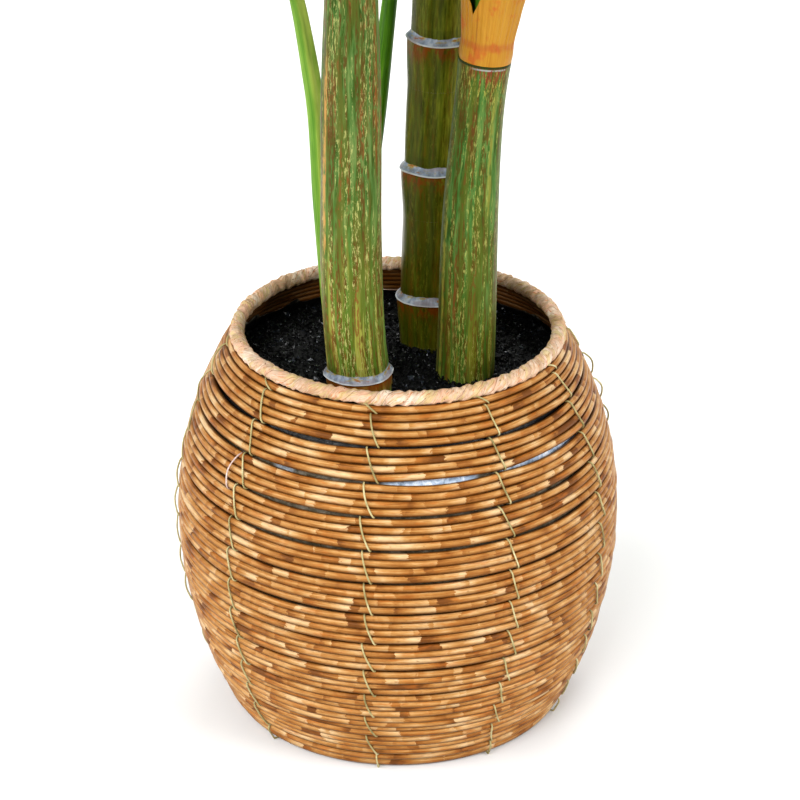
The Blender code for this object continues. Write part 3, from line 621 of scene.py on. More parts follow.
# ------------------------------------------------------------------------- floor
floor_batch = Batch("Flat")
around = np.radians(np.arange(0, 360, 5))
floor_batch.add(np.stack([45 * np.cos(around), 45 * np.sin(around), 0 * around], -1).tolist() + [(0, 0, 0)],
                [[72, k, (k + 1) % 72] for k in range(72)])
floor_paint = Paint("studio_floor", Roughness=0.9, Specular_IOR_Level=0.0)
floor_paint.shader.inputs["Base Color"].default_value = (0.84, 0.84, 0.84, 1.0)
floor = floor_batch.build("studio_floor", [floor_paint.material])
floor.location.z = -0.0004

# ------------------------------------------------------------------------ basket
RIM_Z = 0.2760
WALL_RADII = (0.1150, 0.1413, 0.1501, 0.1410, 0.1088)
STRAND_R = 0.00264
RIM_R = 0.0047
HOOP_R = 0.0037
# Height of the slit under each band of strands, top band first.
SLITS = (0.2487, 0.2279, 0.2065, 0.1846, 0.1623, 0.1397, 0.1170, 0.0948, 0.0730, 0.0534, 0.0339, 0.0143)
# Stitch columns, in degrees round from the front, to the right.
COLUMNS = (-84.0, -46.5, -7.4, 30.0, 64.7, 100.0, 136.0, 172.0, 208.0, 244.0)


def wall_radius(z):
    t = np.asarray(z, float) / RIM_Z
    knots = (0.0, 0.25, 0.5, 0.75, 1.0)
    total = 0.0
    for i, radius in enumerate(WALL_RADII):
        share = 1.0
        for j, knot in enumerate(knots):
            if j != i:
                share = share * (t - knot) / (knots[i] - knot)
        total = total + radius * share
    return total


_z = np.linspace(-0.004, 0.284, 4000)
_run = np.concatenate([[0.0], np.cumsum(np.hypot(np.diff(_z), np.diff(wall_radius(_z))))])


def run_at(z):
    return np.interp(z, _z, _run)


def z_at(run):
    return np.interp(run, _run, _z)


def round_wave(rng, theta, top, strength):
    """A small closed wave round the basket."""
    total = np.zeros_like(theta)
    for k in range(1, top + 1):
        total += rng.normal(0, 1.0 / k**0.7) * np.cos(k * theta + rng.uniform(0, 2 * math.pi))
    return total * strength


def lump(theta, middle, width):
    """A bump of 1 at an angle, falling to 0 past width, in radians."""
    away = np.abs((theta - middle + math.pi) % (2 * math.pi) - math.pi)
    return 1.0 - smoothstep(away / width)


# How far a slit opens halfway between two stitch columns, for the slits and the front stretches that gape most.
STRETCH = (0.0016, 0.0015, 0.0011, 0.0011, 0.0008, 0.0007, 0.0006, 0.0006, 0.0005, 0.0005, 0.0004, 0.0003)
GAPES = {(0, 0): 0.0022, (0, 1): 0.0022, (0, 2): 0.0001, (0, 3): 0.0022,
         (1, 0): 0.0012, (1, 1): 0.0018, (1, 2): 0.0029, (1, 3): 0.0028,
         (2, 1): 0.0018, (2, 2): 0.0009, (2, 3): 0.0021, (3, 1): 0.0016, (3, 2): 0.0010, (3, 3): 0.0024, (4, 3): 0.0011}


def slit_width(slit, theta):
    """A slit's height by angle: pinched at the stitch columns and open like a lens between them."""
    around = (np.degrees(theta) + 90.0 + 84.0) % 360.0 - 84.0
    starts = np.array(COLUMNS + (COLUMNS[0] + 360.0,))
    i = np.clip(np.searchsorted(starts, around, side="right") - 1, 0, len(COLUMNS) - 1)
    share = (around - starts[i]) / (starts[i + 1] - starts[i])
    rng = np.random.default_rng(500 + slit)
    opens = np.array([GAPES.get((slit, k), STRETCH[slit] * rng.uniform(0.3, 1.5)) for k in range(len(COLUMNS))])
    return 0.00100 + 0.00011 * max(0, slit - 2) + opens[i] * np.sin(math.pi * share)**1.4


def band_edges(band, theta):
    """Runs up the wall of a band's upper and lower edge."""
    slits = [float(run_at(z)) for z in SLITS]
    if band == 0:
        high = np.full_like(theta, float(run_at(RIM_Z)) - RIM_R - 0.0001)
    else:
        high = slits[band - 1] - slit_width(band - 1, theta) * 0.5
    if band == 12:
        return high, high - 2 * STRAND_R
    return high, slits[band] + slit_width(band, theta) * 0.5


def wall_normal(z):
    """Outward direction of the wall in the (radius, height) plane."""
    slope = (wall_radius(z + 0.0005) - wall_radius(z - 0.0005)) / 0.001
    n = np.stack([np.ones_like(slope), -slope], -1)
    return n / np.linalg.norm(n, axis=-1, keepdims=True)


def build_strands(material):
    rng = np.random.default_rng(7)
    segments, sides = 224, 8
    theta = np.arange(segments) * 2 * math.pi / segments + math.pi / 2     # the seam is at the back
    turn = math.pi + np.arange(sides) * 2 * math.pi / sides               # and inside
    batches = [Batch("Flat"), Batch("Flat")]
    rows = [(0, k, 5) for k in range(5)] + [(b, k, 4) for b in range(1, 12) for k in range(4)] + [(12, 0, 1)]
    for index, (band, k, of) in enumerate(rows):
        high, low = band_edges(band, theta)
        along = high + (low - high) * (k + 0.5) / of + round_wave(rng, theta, 9, 0.00008)
        z = z_at(along)
        normal = wall_normal(z)
        # where a band is squeezed, every other strand steps out a little
        squeeze = np.clip(2 * STRAND_R - (high - low) / of, 0.0, 0.001)
        push = rng.normal(0, 0.00016) + round_wave(rng, theta, 12, 0.00012) + squeeze * (0.5 if k % 2 else -0.5)
        thick = STRAND_R * (1.045 - 0.005 * band + rng.normal(0, 0.015) + round_wave(rng, theta, 16, 0.010))
        r = wall_radius(z) + push * normal[:, 0]
        z = z + push * normal[:, 1]
        out = np.stack([np.cos(theta), np.sin(theta), np.zeros(segments)], -1)
        middle = out * r[:, None] + np.array([0, 0, 1.0]) * z[:, None]
        # the section is swung so that its map's middle faces out from the wall where the wall leans under, which
        # carries the painted groove shade round with it
        swung = turn[None, :] + np.minimum(np.arctan2(normal[:, 1], normal[:, 0]), 0.0)[:, None] * 0.8
        points = middle[:, None] + thick[:, None, None] * (np.cos(swung)[..., None] * out[:, None]
                                                           + np.sin(swung)[..., None] * np.array([0, 0, 1.0]))
        faces, corners = grid(segments, sides, loop_rows=True)
        faces = faces[:, ::-1]
        corners = corners[:, ::-1]
        length = 2 * math.pi * float(r.mean())
        flat = np.stack([corners[..., 0] / segments * length + index * 0.613,
                         index + 0.05 + 0.9 * corners[..., 1] / sides], -1)
        batches[0 if index < 25 else 1].add(points.reshape(-1, 3), faces, 0, Flat=flat)
    upper = place(batches[0].build("strands_upper", [material]), "rattan", "basket_wall")
    lower = place(batches[1].build("strands_lower", [material]), "rattan", "basket_wall")
    return upper, lower


def build_hoop(material):
    rng = np.random.default_rng(11)
    segments, sides = 256, 14
    theta = np.arange(segments) * 2 * math.pi / segments + math.pi / 2
    turn = math.pi + np.arange(sides) * 2 * math.pi / sides
    out = np.stack([np.cos(theta), np.sin(theta), np.zeros(segments)], -1)
    thick = HOOP_R * (1 + round_wave(rng, theta, 10, 0.010))
    r = WALL_RADII[0] + 0.0004 + round_wave(rng, theta, 5, 0.00012)
    middle = out * r[:, None] + np.array([0, 0, 1.0]) * (0.0003 + HOOP_R)
    # swung so that the painted groove shade falls lower on the hoop and its seen side is lighter
    swung = turn - 0.45
    points = middle[:, None] + thick[:, None, None] * (np.cos(swung)[None, :, None] * out[:, None]
                                                       + np.sin(swung)[None, :, None] * np.array([0, 0, 1.0]))
    faces, corners = grid(segments, sides, loop_rows=True)
    faces, corners = faces[:, ::-1], corners[:, ::-1]
    flat = np.stack([corners[..., 0] / segments * 2 * math.pi * 0.115 + 40.0, 70.05 + 0.9 * corners[..., 1] / sides], -1)
    batch = Batch("Flat").add(points.reshape(-1, 3), faces, 0, Flat=flat)
    return place(batch.build("hoop", [material]), "rattan", "base_hoop")


def build_rim(material):
    """The rim roll: a slack strip wound round it, each turn overlapping the last."""
    rng = np.random.default_rng(13)
    segments, sides, wraps = 1300, 28, 60
    theta = np.arange(segments) * 2 * math.pi / segments + math.pi / 2
    turn = np.arange(sides) * 2 * math.pi / sides + math.pi
    out = np.stack([np.cos(theta), np.sin(theta), np.zeros(segments)], -1)
    slack = round_wave(rng, theta, 40, 0.30)
    skew = 2.1 + 0.45 * round_wave(rng, theta, 12, 0.5)
    phase = (np.arange(segments)[:, None] / segments * wraps + slack[:, None]
             - skew[:, None] * np.arange(sides)[None, :] / sides)
    saw = phase - np.floor(phase)
    edge = np.where(saw < 0.90, (saw / 0.90)**1.5, (1 - saw) / 0.10)
    turns = np.floor(phase).astype(int)
    loose = rng.normal(0, 0.040, 2 * wraps + 9)[(turns + 8) % wraps]
    ridges = 0.016 * np.sin(2 * math.pi * (3.0 * phase + rng.uniform(0, 1, 2 * wraps + 9)[(turns + 8) % wraps]))
    ridges += 0.010 * np.sin(2 * math.pi * (5.0 * phase + 0.6 * np.sin(9 * theta)[:, None]))
    dents = sum(rng.normal(0, 0.019) * np.sin(k * theta[:, None] + m * turn[None] + rng.uniform(0, 6.3))
                for k, m in [(rng.integers(20, 160), rng.integers(-3, 4)) for _ in range(14)])
    roll = RIM_R * (0.972 + 0.060 * edge + loose + ridges + dents + round_wave(rng, theta, 14, 0.012)[:, None])
    r = wall_radius(RIM_Z) + round_wave(rng, theta, 6, 0.00022)
    z = RIM_Z + round_wave(rng, theta, 9, 0.00020)
    middle = out * r[:, None] + np.array([0, 0, 1.0]) * z[:, None]
    points = middle[:, None] + roll[..., None] * (np.cos(turn)[None, :, None] * out[:, None]
                                                  + np.sin(turn)[None, :, None] * np.array([0, 0, 1.0]))
    faces, corners = grid(segments, sides, loop_rows=True)
    faces, corners = faces[:, ::-1], corners[:, ::-1]
    slack_, skew_ = np.concatenate([slack, slack[:1]]), np.concatenate([skew, skew[:1]])
    flat = np.stack([corners[..., 0] / segments * wraps + slack_[corners[..., 0]]
                     - skew_[corners[..., 0]] * corners[..., 1] / sides, corners[..., 1] / sides * 6.0], -1)
    batch = Batch("Flat").add(points.reshape(-1, 3), faces, 0, Flat=flat)
    return place(batch.build("rim_wrap", [material]), "rim_wrap", "basket_rim")


def build_twine(materials):
    rng = np.random.default_rng(17)
    batch = Batch("Flat")
    twine = 0.00060
    slits = [float(run_at(z)) for z in SLITS]
    top = float(run_at(RIM_Z))

    def stitch(angle, high, low, lean, proud=0.0, thick=twine, shift=0.0, drag=0.0, skin=0, strand=STRAND_R, which=0):
        """A bight of twine over the strands between two slits: it hooks round the first and last strand."""
        bend = strand + thick * 1.02
        quarter = np.linspace(0, math.pi / 2, 6)
        lift = np.concatenate([[-0.6 * bend], bend * np.sin(quarter), np.full(9, bend), bend * np.sin(quarter[::-1]), [-0.6 * bend]])
        hook = bend * (1 - np.cos(quarter))
        inner = np.linspace(0, 1, 11)[1:-1]
        run = np.concatenate([[0.0], hook, bend + inner * (high - low - 2 * bend), (high - low) - hook[::-1], [high - low]])
        t = run / (high - low)
        z = z_at(high - run)
        normal = wall_normal(z)
        lift = lift + proud * np.sin(math.pi * t)**1.5 + skin
        r = wall_radius(z) + lift * normal[:, 0]
        z = z + lift * normal[:, 1]
        z = np.maximum(z, thick + 0.0001)
        a = math.radians(-90 + angle) + (lean * (t - 0.5) + shift + drag * np.sin(math.pi * t)) / r
        knots = np.stack([r * np.cos(a), r * np.sin(a), z], -1)
        far = np.concatenate([[0], np.cumsum(np.linalg.norm(np.diff(knots, axis=0), axis=1))])
        path = cubic(far, knots, np.linspace(0, far[-1], 30))
        tube(batch, path, thick * (1 + rng.normal(0, 0.05)), 7, which=which, start=(0, 0, 1.0), offset=rng.uniform(0, 1))

    slack = {(-84.0, 5): 0.0020, (-84.0, 6): 0.0012, (100.0, 1): 0.0030, (100.0, 2): 0.0030, (100.0, 3): 0.0026, (100.0, 4): 0.0018}
    for column, angle in enumerate(COLUMNS):
        edge = 1.0 if abs((angle + 90) % 180 - 90) > 55 else 0.0
        at = np.array([math.radians(angle - 90)])
        for band in range(12):
            high = top - RIM_R - 2 * STRAND_R - 0.0002 if band == 0 else slits[band - 1]
            low = slits[band]
            drift = 0.0012 * math.sin(band * 0.9 + column) + rng.normal(0, 0.0006)
            lean = 0.0072 + rng.normal(0, 0.0008)
            proud = 0.0002 + edge * (abs(rng.normal(0, 0.0012)) if rng.random() < 0.6 else 0.0)
            if abs(angle - 8.0) > 100 or band < 8:
                proud = slack.get((float(angle), band), proud)
            stitch(angle, high, low, lean, proud, shift=drift, drag=rng.normal(-0.0006, 0.0005))
        # over the first strand from under the rim, and round the hoop
        stitch(angle, top - RIM_R * 0.72, top - RIM_R - 2 * STRAND_R - 0.0002, 0.0088, 0.0, shift=-0.0030)
        stitch(angle, slits[11], float(run_at(-0.0030)), 0.0012, 0.0, shift=0.002, strand=HOOP_R)
    # slack bights that stand off the wall
    stitch(-46.5, slits[1] - 0.001, slits[2] - 0.006, -0.0060, 0.0016, thick=twine * 0.85, shift=-0.0075, drag=-0.0035, which=1)
    stitch(136.0, slits[4], slits[5], -0.003, 0.0020, thick=twine * 0.85, shift=0.003, drag=0.003)
    stitch(208.0, slits[6], slits[7], 0.005, 0.0022, thick=twine * 0.85, shift=-0.004, drag=-0.002, which=1)
    return place(batch.build("twine_stitches", materials), "rattan")


def build_liner(material):
    """The film inside the wall, creased, with a ragged edge that shows in places over the filling."""
    rng = np.random.default_rng(19)
    segments, low_rows, high_rows = 300, 46, 8
    theta = np.arange(segments) * 2 * math.pi / segments
    top = 0.2500 + 0.0022 * np.clip(round_wave(rng, theta, 34, 0.5), -1.0, 2.2)
    for middle, width, height in ((152, 0.17, 0.0090), (128, 0.10, 0.0050), (60, 0.15, 0.0075), (38, 0.12, 0.0055),
                                  (97, 0.10, 0.0030), (-60, 0.16, 0.0030)):
        top += height * lump(theta, math.radians(middle), width) * (0.75 + 0.35 * np.cos(theta * 41 + middle))
    heights = np.linspace(0.0088, 0.2440, low_rows)
    rows = []
    for i in range(low_rows + high_rows):
        z = np.full(segments, heights[i]) if i < low_rows else 0.2440 + (top - 0.2440) * (i - low_rows + 1) / high_rows
        crease = round_wave(rng, theta, 26, 0.00010)
        curl = np.clip((z - 0.252) / 0.010, 0, 1) * (0.0016 + 0.0012 * np.sin(theta * 57))
        r = wall_radius(z) - STRAND_R - 0.0007 - np.abs(crease) - curl
        rows.append(np.stack([r * np.cos(theta), r * np.sin(theta), z], -1))
    outer = np.array(rows)
    inner = outer.copy()
    inner[..., :2] *= (1 - 0.0004 / np.linalg.norm(inner[..., :2], axis=-1))[..., None]
    batch = Batch("Flat")
    ring = np.concatenate([outer, inner[::-1]])
    faces, corners = grid(len(ring), segments)
    batch.add(ring.reshape(-1, 3), faces, 0, Flat=corners / segments)
    k = np.arange(segments)
    last = (len(ring) - 1) * segments
    batch.add(None, np.stack([last + k, last + (k + 1) % segments, (k + 1) % segments, k], -1))
    return place(batch.build("liner_film_skin", [material]), "liner_film", "liner")


FEET = ((-0.0252, -0.0466, 0.0222), (0.0450, -0.0225, 0.0198), (0.0218, 0.0298, 0.0204),
        (-0.0452, 0.0347, 0.0050), (-0.0330, 0.0430, 0.0050))


def build_filling(bed_material, crumb_materials):
    rng = np.random.default_rng(23)
    rings, segments = 44, 160
    share = np.linspace(0.0, 1.0, rings)
    theta = np.arange(segments) * 2 * math.pi / segments
    waves = [(rng.uniform(20, 90), rng.uniform(0, 6.3), rng.uniform(0, 6.3)) for _ in range(14)]

    def reach_at(z):
        return wall_radius(z) - STRAND_R - 0.0018

    reach = float(reach_at(0.2500))

    def ground(x, y):
        """Height of the bed: level round the canes, lumpy, and sunk along the wall, most at the back."""
        h = np.zeros_like(x)
        for k, a, b in waves:
            h += np.sin(k * (x * math.cos(a) + y * math.sin(a)) + b) * 0.9 / (k / 20) * 0.0004
        r = np.hypot(x, y)
        back = smoothstep((y / np.maximum(r, 1e-6) + 0.35) / 0.8)
        sink = 0.0012 + 0.0062 * back
        return 0.2527 + h - sink * smoothstep((r / reach - 0.66) / 0.34)

    r, t = np.meshgrid(share[1:], theta, indexing="ij")
    r = r * reach
    x, y = r * np.cos(t), r * np.sin(t)
    z = ground(x, y) + rng.normal(0, 0.0002, x.shape)
    top = np.concatenate([[[0, 0, float(ground(np.zeros(1), np.zeros(1))[0])]], np.stack([x, y, z], -1).reshape(-1, 3)])
    batch = Batch("Flat")
    fan = np.stack([np.zeros(segments, int), 1 + np.arange(segments), 1 + (np.arange(segments) + 1) % segments], -1)
    faces, _ = grid(rings - 1, segments)
    batch.add(top, fan)
    batch.add(None, faces[:, ::-1] + 1)
    # the side and underside of the filling, out of sight
    edge = top[-segments:]
    rows = [edge] + [np.stack([reach_at(h) * np.cos(theta), reach_at(h) * np.sin(theta), np.full(segments, h)], -1)
                     for h in (0.236, 0.20, 0.15, 0.10, 0.05, 0.012)]
    side = np.array(rows)
    faces, _ = grid(len(side), segments)
    batch.add(np.concatenate([side.reshape(-1, 3), [[0, 0, 0.012]]]), faces[:, ::-1])
    last = (len(side) - 1) * segments
    batch.add(None, np.stack([np.full(segments, len(side) * segments), last + (np.arange(segments) + 1) % segments,
                              last + np.arange(segments)], -1))
    bed = place(batch.build("filling_bed", [bed_material]), "black_filling", "filling")

    # crumbs: small crooked octahedra strewn over the bed
    count = 14500
    radius = reach * 1.004 * np.sqrt(rng.random(count))
    angle = rng.random(count) * 2 * math.pi
    cx, cy = radius * np.cos(angle), radius * np.sin(angle)
    keep = np.ones(count, bool)
    for fx, fy, fr in FEET:
        keep &= np.hypot(cx - fx, cy - fy) > fr - 0.0004
    cx, cy = cx[keep], cy[keep]
    heaped = np.zeros(len(cx))
    for fx, fy, fr in FEET:
        some = 430 if fr > 0.01 else 90
        a = rng.random(some) * 2 * math.pi
        height = 0.0030 * (0.5 + 0.5 * np.sin(3 * a + fx * 900) * np.sin(7 * a + 2.0)) * rng.random(some)
        d = fr - 0.0006 + 0.0030 * rng.random(some)**1.5
        cx, cy = np.append(cx, fx + d * np.cos(a)), np.append(cy, fy + d * np.sin(a))
        heaped = np.append(heaped, height + 0.0004)
    n = len(cx)
    size = np.clip(rng.lognormal(math.log(0.00078), 0.40, n), 0.00035, 0.0021)
    base = np.array([(1, 0, 0), (-1, 0, 0), (0, 1, 0), (0, -1, 0), (0, 0, 1), (0, 0, -1)], float)
    shape = base[None] * (1 + rng.normal(0, 0.28, (n, 6, 1))) + rng.normal(0, 0.20, (n, 6, 3))
    shape *= rng.uniform(0.45, 1.5, (n, 1, 3))
    q = rng.normal(0, 1, (n, 4))
    q /= np.linalg.norm(q, axis=1, keepdims=True)
    w, i, j, k = q.T
    turn = np.stack([1 - 2 * (j * j + k * k), 2 * (i * j - k * w), 2 * (i * k + j * w),
                     2 * (i * j + k * w), 1 - 2 * (i * i + k * k), 2 * (j * k - i * w),
                     2 * (i * k - j * w), 2 * (j * k + i * w), 1 - 2 * (i * i + j * j)], -1).reshape(n, 3, 3)
    shape = np.einsum("nij,nvj->nvi", turn, shape) * size[:, None, None]
    middle = np.stack([cx, cy, ground(cx, cy) + heaped + size * rng.uniform(-0.1, 0.8, n)], -1)
    points = shape + middle[:, None]
    flat = np.hypot(points[..., 0], points[..., 1])
    over = np.maximum(flat / (reach + 0.0010), 1.0)
    points[..., :2] /= over[..., None]
    tris = np.array([(0, 2, 4), (2, 1, 4), (1, 3, 4), (3, 0, 4), (2, 0, 5), (1, 2, 5), (3, 1, 5), (0, 3, 5)])
    faces = (tris[None] + 6 * np.arange(n)[:, None, None]).reshape(-1, 3)
    kind = np.repeat(rng.choice(3, n, p=(0.66, 0.24, 0.10)), 8)
    crumbs = Batch("Flat").add(points.reshape(-1, 3), faces, kind)
    obj = crumbs.build("filling_crumbs", crumb_materials)
    obj.data.shade_flat()
    return bed, place(obj, "black_filling", "filling")


# ------------------------------------------------------------------------- canes
CANE_PATHS = {
    "left": ((0.2543, 0.2660, 0.2883, 0.3172, 0.3527, 0.4219, 0.4886, 0.5211, 0.5760),
             ((-0.0252, -0.0466), (-0.0261, -0.0466), (-0.0281, -0.0466), (-0.0296, -0.0466), (-0.0302, -0.0467),
              (-0.0297, -0.0468), (-0.0292, -0.0470), (-0.0289, -0.0472), (-0.0284, -0.0478))),
    "right": ((0.2543, 0.2854, 0.3424, 0.3785, 0.4105, 0.4454, 0.4745),
              ((0.0450, -0.0225), (0.0457, -0.0225), (0.0470, -0.0225), (0.0481, -0.0225), (0.0497, -0.0225),
               (0.0525, -0.0225), (0.0556, -0.0225))),
    "middle": ((0.2543, 0.2876, 0.3810, 0.4713, 0.5600, 0.6470, 0.7330, 0.8180),
               ((0.0218, 0.0298), (0.0221, 0.0298), (0.0240, 0.0300), (0.0276, 0.0304), (0.0308, 0.0309),
                (0.0338, 0.0316), (0.0366, 0.0324), (0.0390, 0.0332))),
}
CANE_TOPS = {"left": 0.5760, "right": 0.4745, "middle": 0.8180}
LEAN = {"left": (-0.02, -0.01), "right": (0.105, 0.0), "middle": (0.025, 0.010)}
CANE_RINGS = {"left": (0.2655,), "right": (), "middle": (0.2876, 0.3810, 0.4713, 0.5600, 0.6470, 0.7330)}
BEVEL = 0.0046


def cane_radius(kind, z):
    """Radius up a cane: internodes that swell to a sharp ledge at each ring, and a chamfer back in over it."""
    if kind == "left":
        body = cubic((0.2543, 0.2600, 0.2645, 0.2700, 0.3000, 0.3527, 0.4219, 0.4886, 0.5211, 0.5480, 0.5680, 0.5760),
                     (0.0216, 0.0208, 0.0205, 0.0203, 0.0201, 0.0200, 0.0193, 0.0181, 0.0171, 0.0166, 0.0170, 0.0174), z)
        ledges = (0.0232,)
    elif kind == "right":
        body = cubic((0.2543, 0.2854, 0.3424, 0.3785, 0.4105, 0.4454, 0.4650, 0.4745),
                     (0.0200, 0.0196, 0.0189, 0.0180, 0.0169, 0.0161, 0.0164, 0.0169), z)
        ledges = ()
    else:
        body = cubic((0.2543, 0.2880, 0.3810, 0.4713, 0.5600, 0.6470, 0.7330, 0.8050, 0.8180),
                     (0.0208, 0.0202, 0.0199, 0.0194, 0.0190, 0.0186, 0.0182, 0.0174, 0.0176), z)
        ledges = tuple(0.0238 - 0.0005 * i for i in range(6))
    z = np.asarray(z, float)
    for at, ledge in zip(CANE_RINGS[kind], ledges):
        inner = np.interp(at, z, body)
        lip = 0.0011 if kind == "middle" else 0.0016
        swell = (ledge - lip - inner) * smoothstep(1 - (at - z) / 0.042) + lip * smoothstep(1 - (at - z) / 0.0011)
        below = (z <= at) & (z > at - 0.042)
        body = np.where(below, np.maximum(body, inner + swell), body)
        over = (z > at) & (z < at + BEVEL)
        t = (z - at) / BEVEL
        body = np.where(over, ledge + (body - ledge) * (1 - np.clip(1 - t, 0.0, 1.0)**1.6), body)
    return body


def ring_offset(kind, z):
    """Metres above the nearest ring's ledge, or far from any ring a large figure."""
    rings = CANE_RINGS[kind]
    if not rings:
        return np.full_like(z, 0.5)
    gaps = z[:, None] - np.array(rings)[None]
    gaps = np.where((gaps < 0.012) & (gaps > -0.034), gaps, 0.5)
    return gaps[np.arange(len(z)), np.argmin(np.abs(gaps), axis=1)]


def build_cane(kind, material):
    rng = np.random.default_rng({"left": 31, "right": 37, "middle": 41}[kind])
    foot, top = 0.2490, CANE_TOPS[kind]
    rows = list(np.linspace(foot, top, int((top - foot) / 0.0022)))
    for ring in CANE_RINGS[kind]:
        rows += [ring - 0.0150, ring - 0.0100, ring - 0.0075, ring - 0.0055, ring - 0.0040, ring - 0.0027, ring - 0.0015,
                 ring - 0.0007, ring - 0.0002, ring, ring + 0.0002, ring + 0.0008, ring + 0.0016, ring + 0.0026,
                 ring + 0.0036, ring + BEVEL, ring + BEVEL + 0.0004]
    z = np.array(sorted(set(np.round(rows, 5))))
    sides = 72
    theta = np.arange(sides) * 2 * math.pi / sides + math.pi / 2
    radius = cane_radius(kind, z)
    radius[0] -= 0.0
    path = CANE_PATHS[kind]
    middle = cubic(path[0], path[1], np.maximum(z, path[0][0]))
    share = np.clip((z - 0.2543) / 0.08, 0, 1) * np.clip((z - 0.2543) / (top - 0.2543), 0, 1)
    lumps = np.zeros((len(z), sides))
    for _ in range(9):
        k, m = rng.integers(1, 7), rng.uniform(4, 60)
        lumps += rng.normal(0, 0.0045) * np.cos(k * theta[None] + m * z[:, None] + rng.uniform(0, 6.3))
    ribs = np.zeros((len(z), sides))
    for _ in range(6):
        k = rng.integers(9, 24)
        ribs += rng.normal(0, 0.0022) * np.cos(k * theta[None] + rng.uniform(-9, 9) * z[:, None] + rng.uniform(0, 6.3))
    r = radius[:, None] * (1 + lumps + (ribs if kind != "middle" else ribs * 0.4))
    # A ring's ledge dips and rises a little round the cane.
    tilt = np.zeros((len(z), sides))
    for i, ring in enumerate(CANE_RINGS[kind]):
        near = np.exp(-((z - ring) / 0.012)**2)
        tilt += near[:, None] * (0.0007 * np.cos(theta + 1.3 * i + 0.4) + 0.00035 * np.cos(3 * theta + i))[None]
    lean = np.array(LEAN[kind])
    x = middle[:, 0, None] + r * np.cos(theta)[None]
    y = middle[:, 1, None] + r * np.sin(theta)[None]
    drop = (x - middle[:, 0, None]) * lean[0] * share[:, None] + (y - middle[:, 1, None]) * lean[1] * share[:, None]
    points = np.stack([x, y, z[:, None] - drop + tilt], -1)
    faces, corners = grid(len(z), sides)
    ring = ring_offset(kind, z)
    maps = {
        "Bark": np.stack([corners[..., 1] / sides * 2 * math.pi * 0.0190, z[corners[..., 0]]], -1),
        "Ring": np.stack([corners[..., 1] / sides, ring[corners[..., 0]]], -1),
    }
    batch = Batch("Bark", "Ring")
    centre = np.array([[*middle[-1], top], [*middle[0], foot]])
    batch.add(np.concatenate([points.reshape(-1, 3), centre]), faces, 0, **maps)
    last, total = (len(z) - 1) * sides, len(z) * sides
    k = np.arange(sides)
    batch.add(None, np.stack([np.full(sides, total), last + k, last + (k + 1) % sides], -1), 0,
              Ring=np.full((sides, 3, 2), 0.5))
    batch.add(None, np.stack([np.full(sides, total + 1), (k + 1) % sides, k], -1), 0, Ring=np.full((sides, 3, 2), 0.5))
    return place(batch.build(f"bark_{kind}", [material], sharp=38), "cane_bark", f"cane_{kind}")


# ----------------------------------------------------------------------- sheaths
SHEATH_H = 0.092
SHEATH_T = 0.0013
SHEATH_FLARE = ((0.0, 0.0168), (0.0045, 0.0173), (0.012, 0.0169), (0.030, 0.0188), (0.055, 0.0214), (0.092, 0.0250))
SHEATH_NOTCHES = {"left": ((-120, 0.030), (10, 0.040), (120, 0.034)),
                  "right": ((-128, 0.033), (-5, 0.042), (110, 0.036)),
                  "middle": ((-70, 0.036), (50, 0.030), (170, 0.042))}
NOTCH_SLOPE = 0.42


def lean_matrix(kind):
    lean = Vector((*LEAN[kind], 1.0)).normalized()
    return lean, np.array(Vector((0, 0, 1)).rotation_difference(lean).to_matrix())


def sheath_base(kind):
    path = CANE_PATHS[kind]
    lean, turn = lean_matrix(kind)
    x, y = cubic(path[0], path[1], CANE_TOPS[kind])[0]
    return np.array([x, y, CANE_TOPS[kind]]) + np.array(lean) * 0.0003, np.array(lean), turn


def build_sheath(kind, material):
    rng = np.random.default_rng({"left": 51, "right": 57, "middle": 61}[kind])
    base, lean, turn = sheath_base(kind)
    sides, rows = 180, 46
    theta = np.arange(sides) * 2 * math.pi / sides + math.pi / 2
    edge = np.full(sides, SHEATH_H)
    for at, foot in SHEATH_NOTCHES[kind]:
        away = np.abs((theta - math.radians(at) + math.pi) % (2 * math.pi) - math.pi) * 0.0200
        edge = np.minimum(edge, foot + away / NOTCH_SLOPE)
    edge += 0.0006 * np.cos(23 * theta) * (edge > 0.05)
    share = np.linspace(0, 1, rows)**1.15
    h = share[:, None] * edge[None]
    wave = (0.00022 * np.cos(31 * theta) + 0.00016 * np.cos(47 * theta + 1.0) + 0.0003 * np.cos(5 * theta + 2.0))[None] * smoothstep(h / 0.02)
    curl = 0.0016 * smoothstep((share[:, None] - 0.72) / 0.28) * np.where(edge > 0.05, 1.0, 0.35)[None]
    outer = cubic([p[0] for p in SHEATH_FLARE], [p[1] for p in SHEATH_FLARE], h.ravel()).reshape(h.shape) + wave + curl
    inner = outer - SHEATH_T * (1 - 0.6 * share[:, None]**2)
    floor_h = np.maximum(h, 0.0)
    grids = []
    for radius, lift in ((outer, floor_h), (inner[::-1], np.maximum(floor_h[::-1], SHEATH_T))):
        local = np.stack([radius * np.cos(theta)[None], radius * np.sin(theta)[None], lift], -1)
        grids.append(base + local @ turn.T)
    ring = np.concatenate(grids)
    heights = np.concatenate([h, h[::-1]])
    faces, corners = grid(len(ring), sides)
    col = corners[..., 1] % sides
    bark = np.stack([corners[..., 1] / sides * 2 * math.pi * 0.0180, heights[corners[..., 0], col]], -1)
    batch = Batch("Bark")
    caps = np.array([base, base + lean * SHEATH_T])
    batch.add(np.concatenate([ring.reshape(-1, 3), caps]), faces, 0, Bark=bark)
    k = np.arange(sides)
    total, last = len(ring) * sides, (len(ring) - 1) * sides
    batch.add(None, np.stack([np.full(sides, total), (k + 1) % sides, k], -1))
    batch.add(None, np.stack([np.full(sides, total + 1), last + k, last + (k + 1) % sides], -1))
    return place(batch.build(f"sheath_{kind}_skin", [material], sharp=50), "sheath_skin", f"sheath_{kind}")


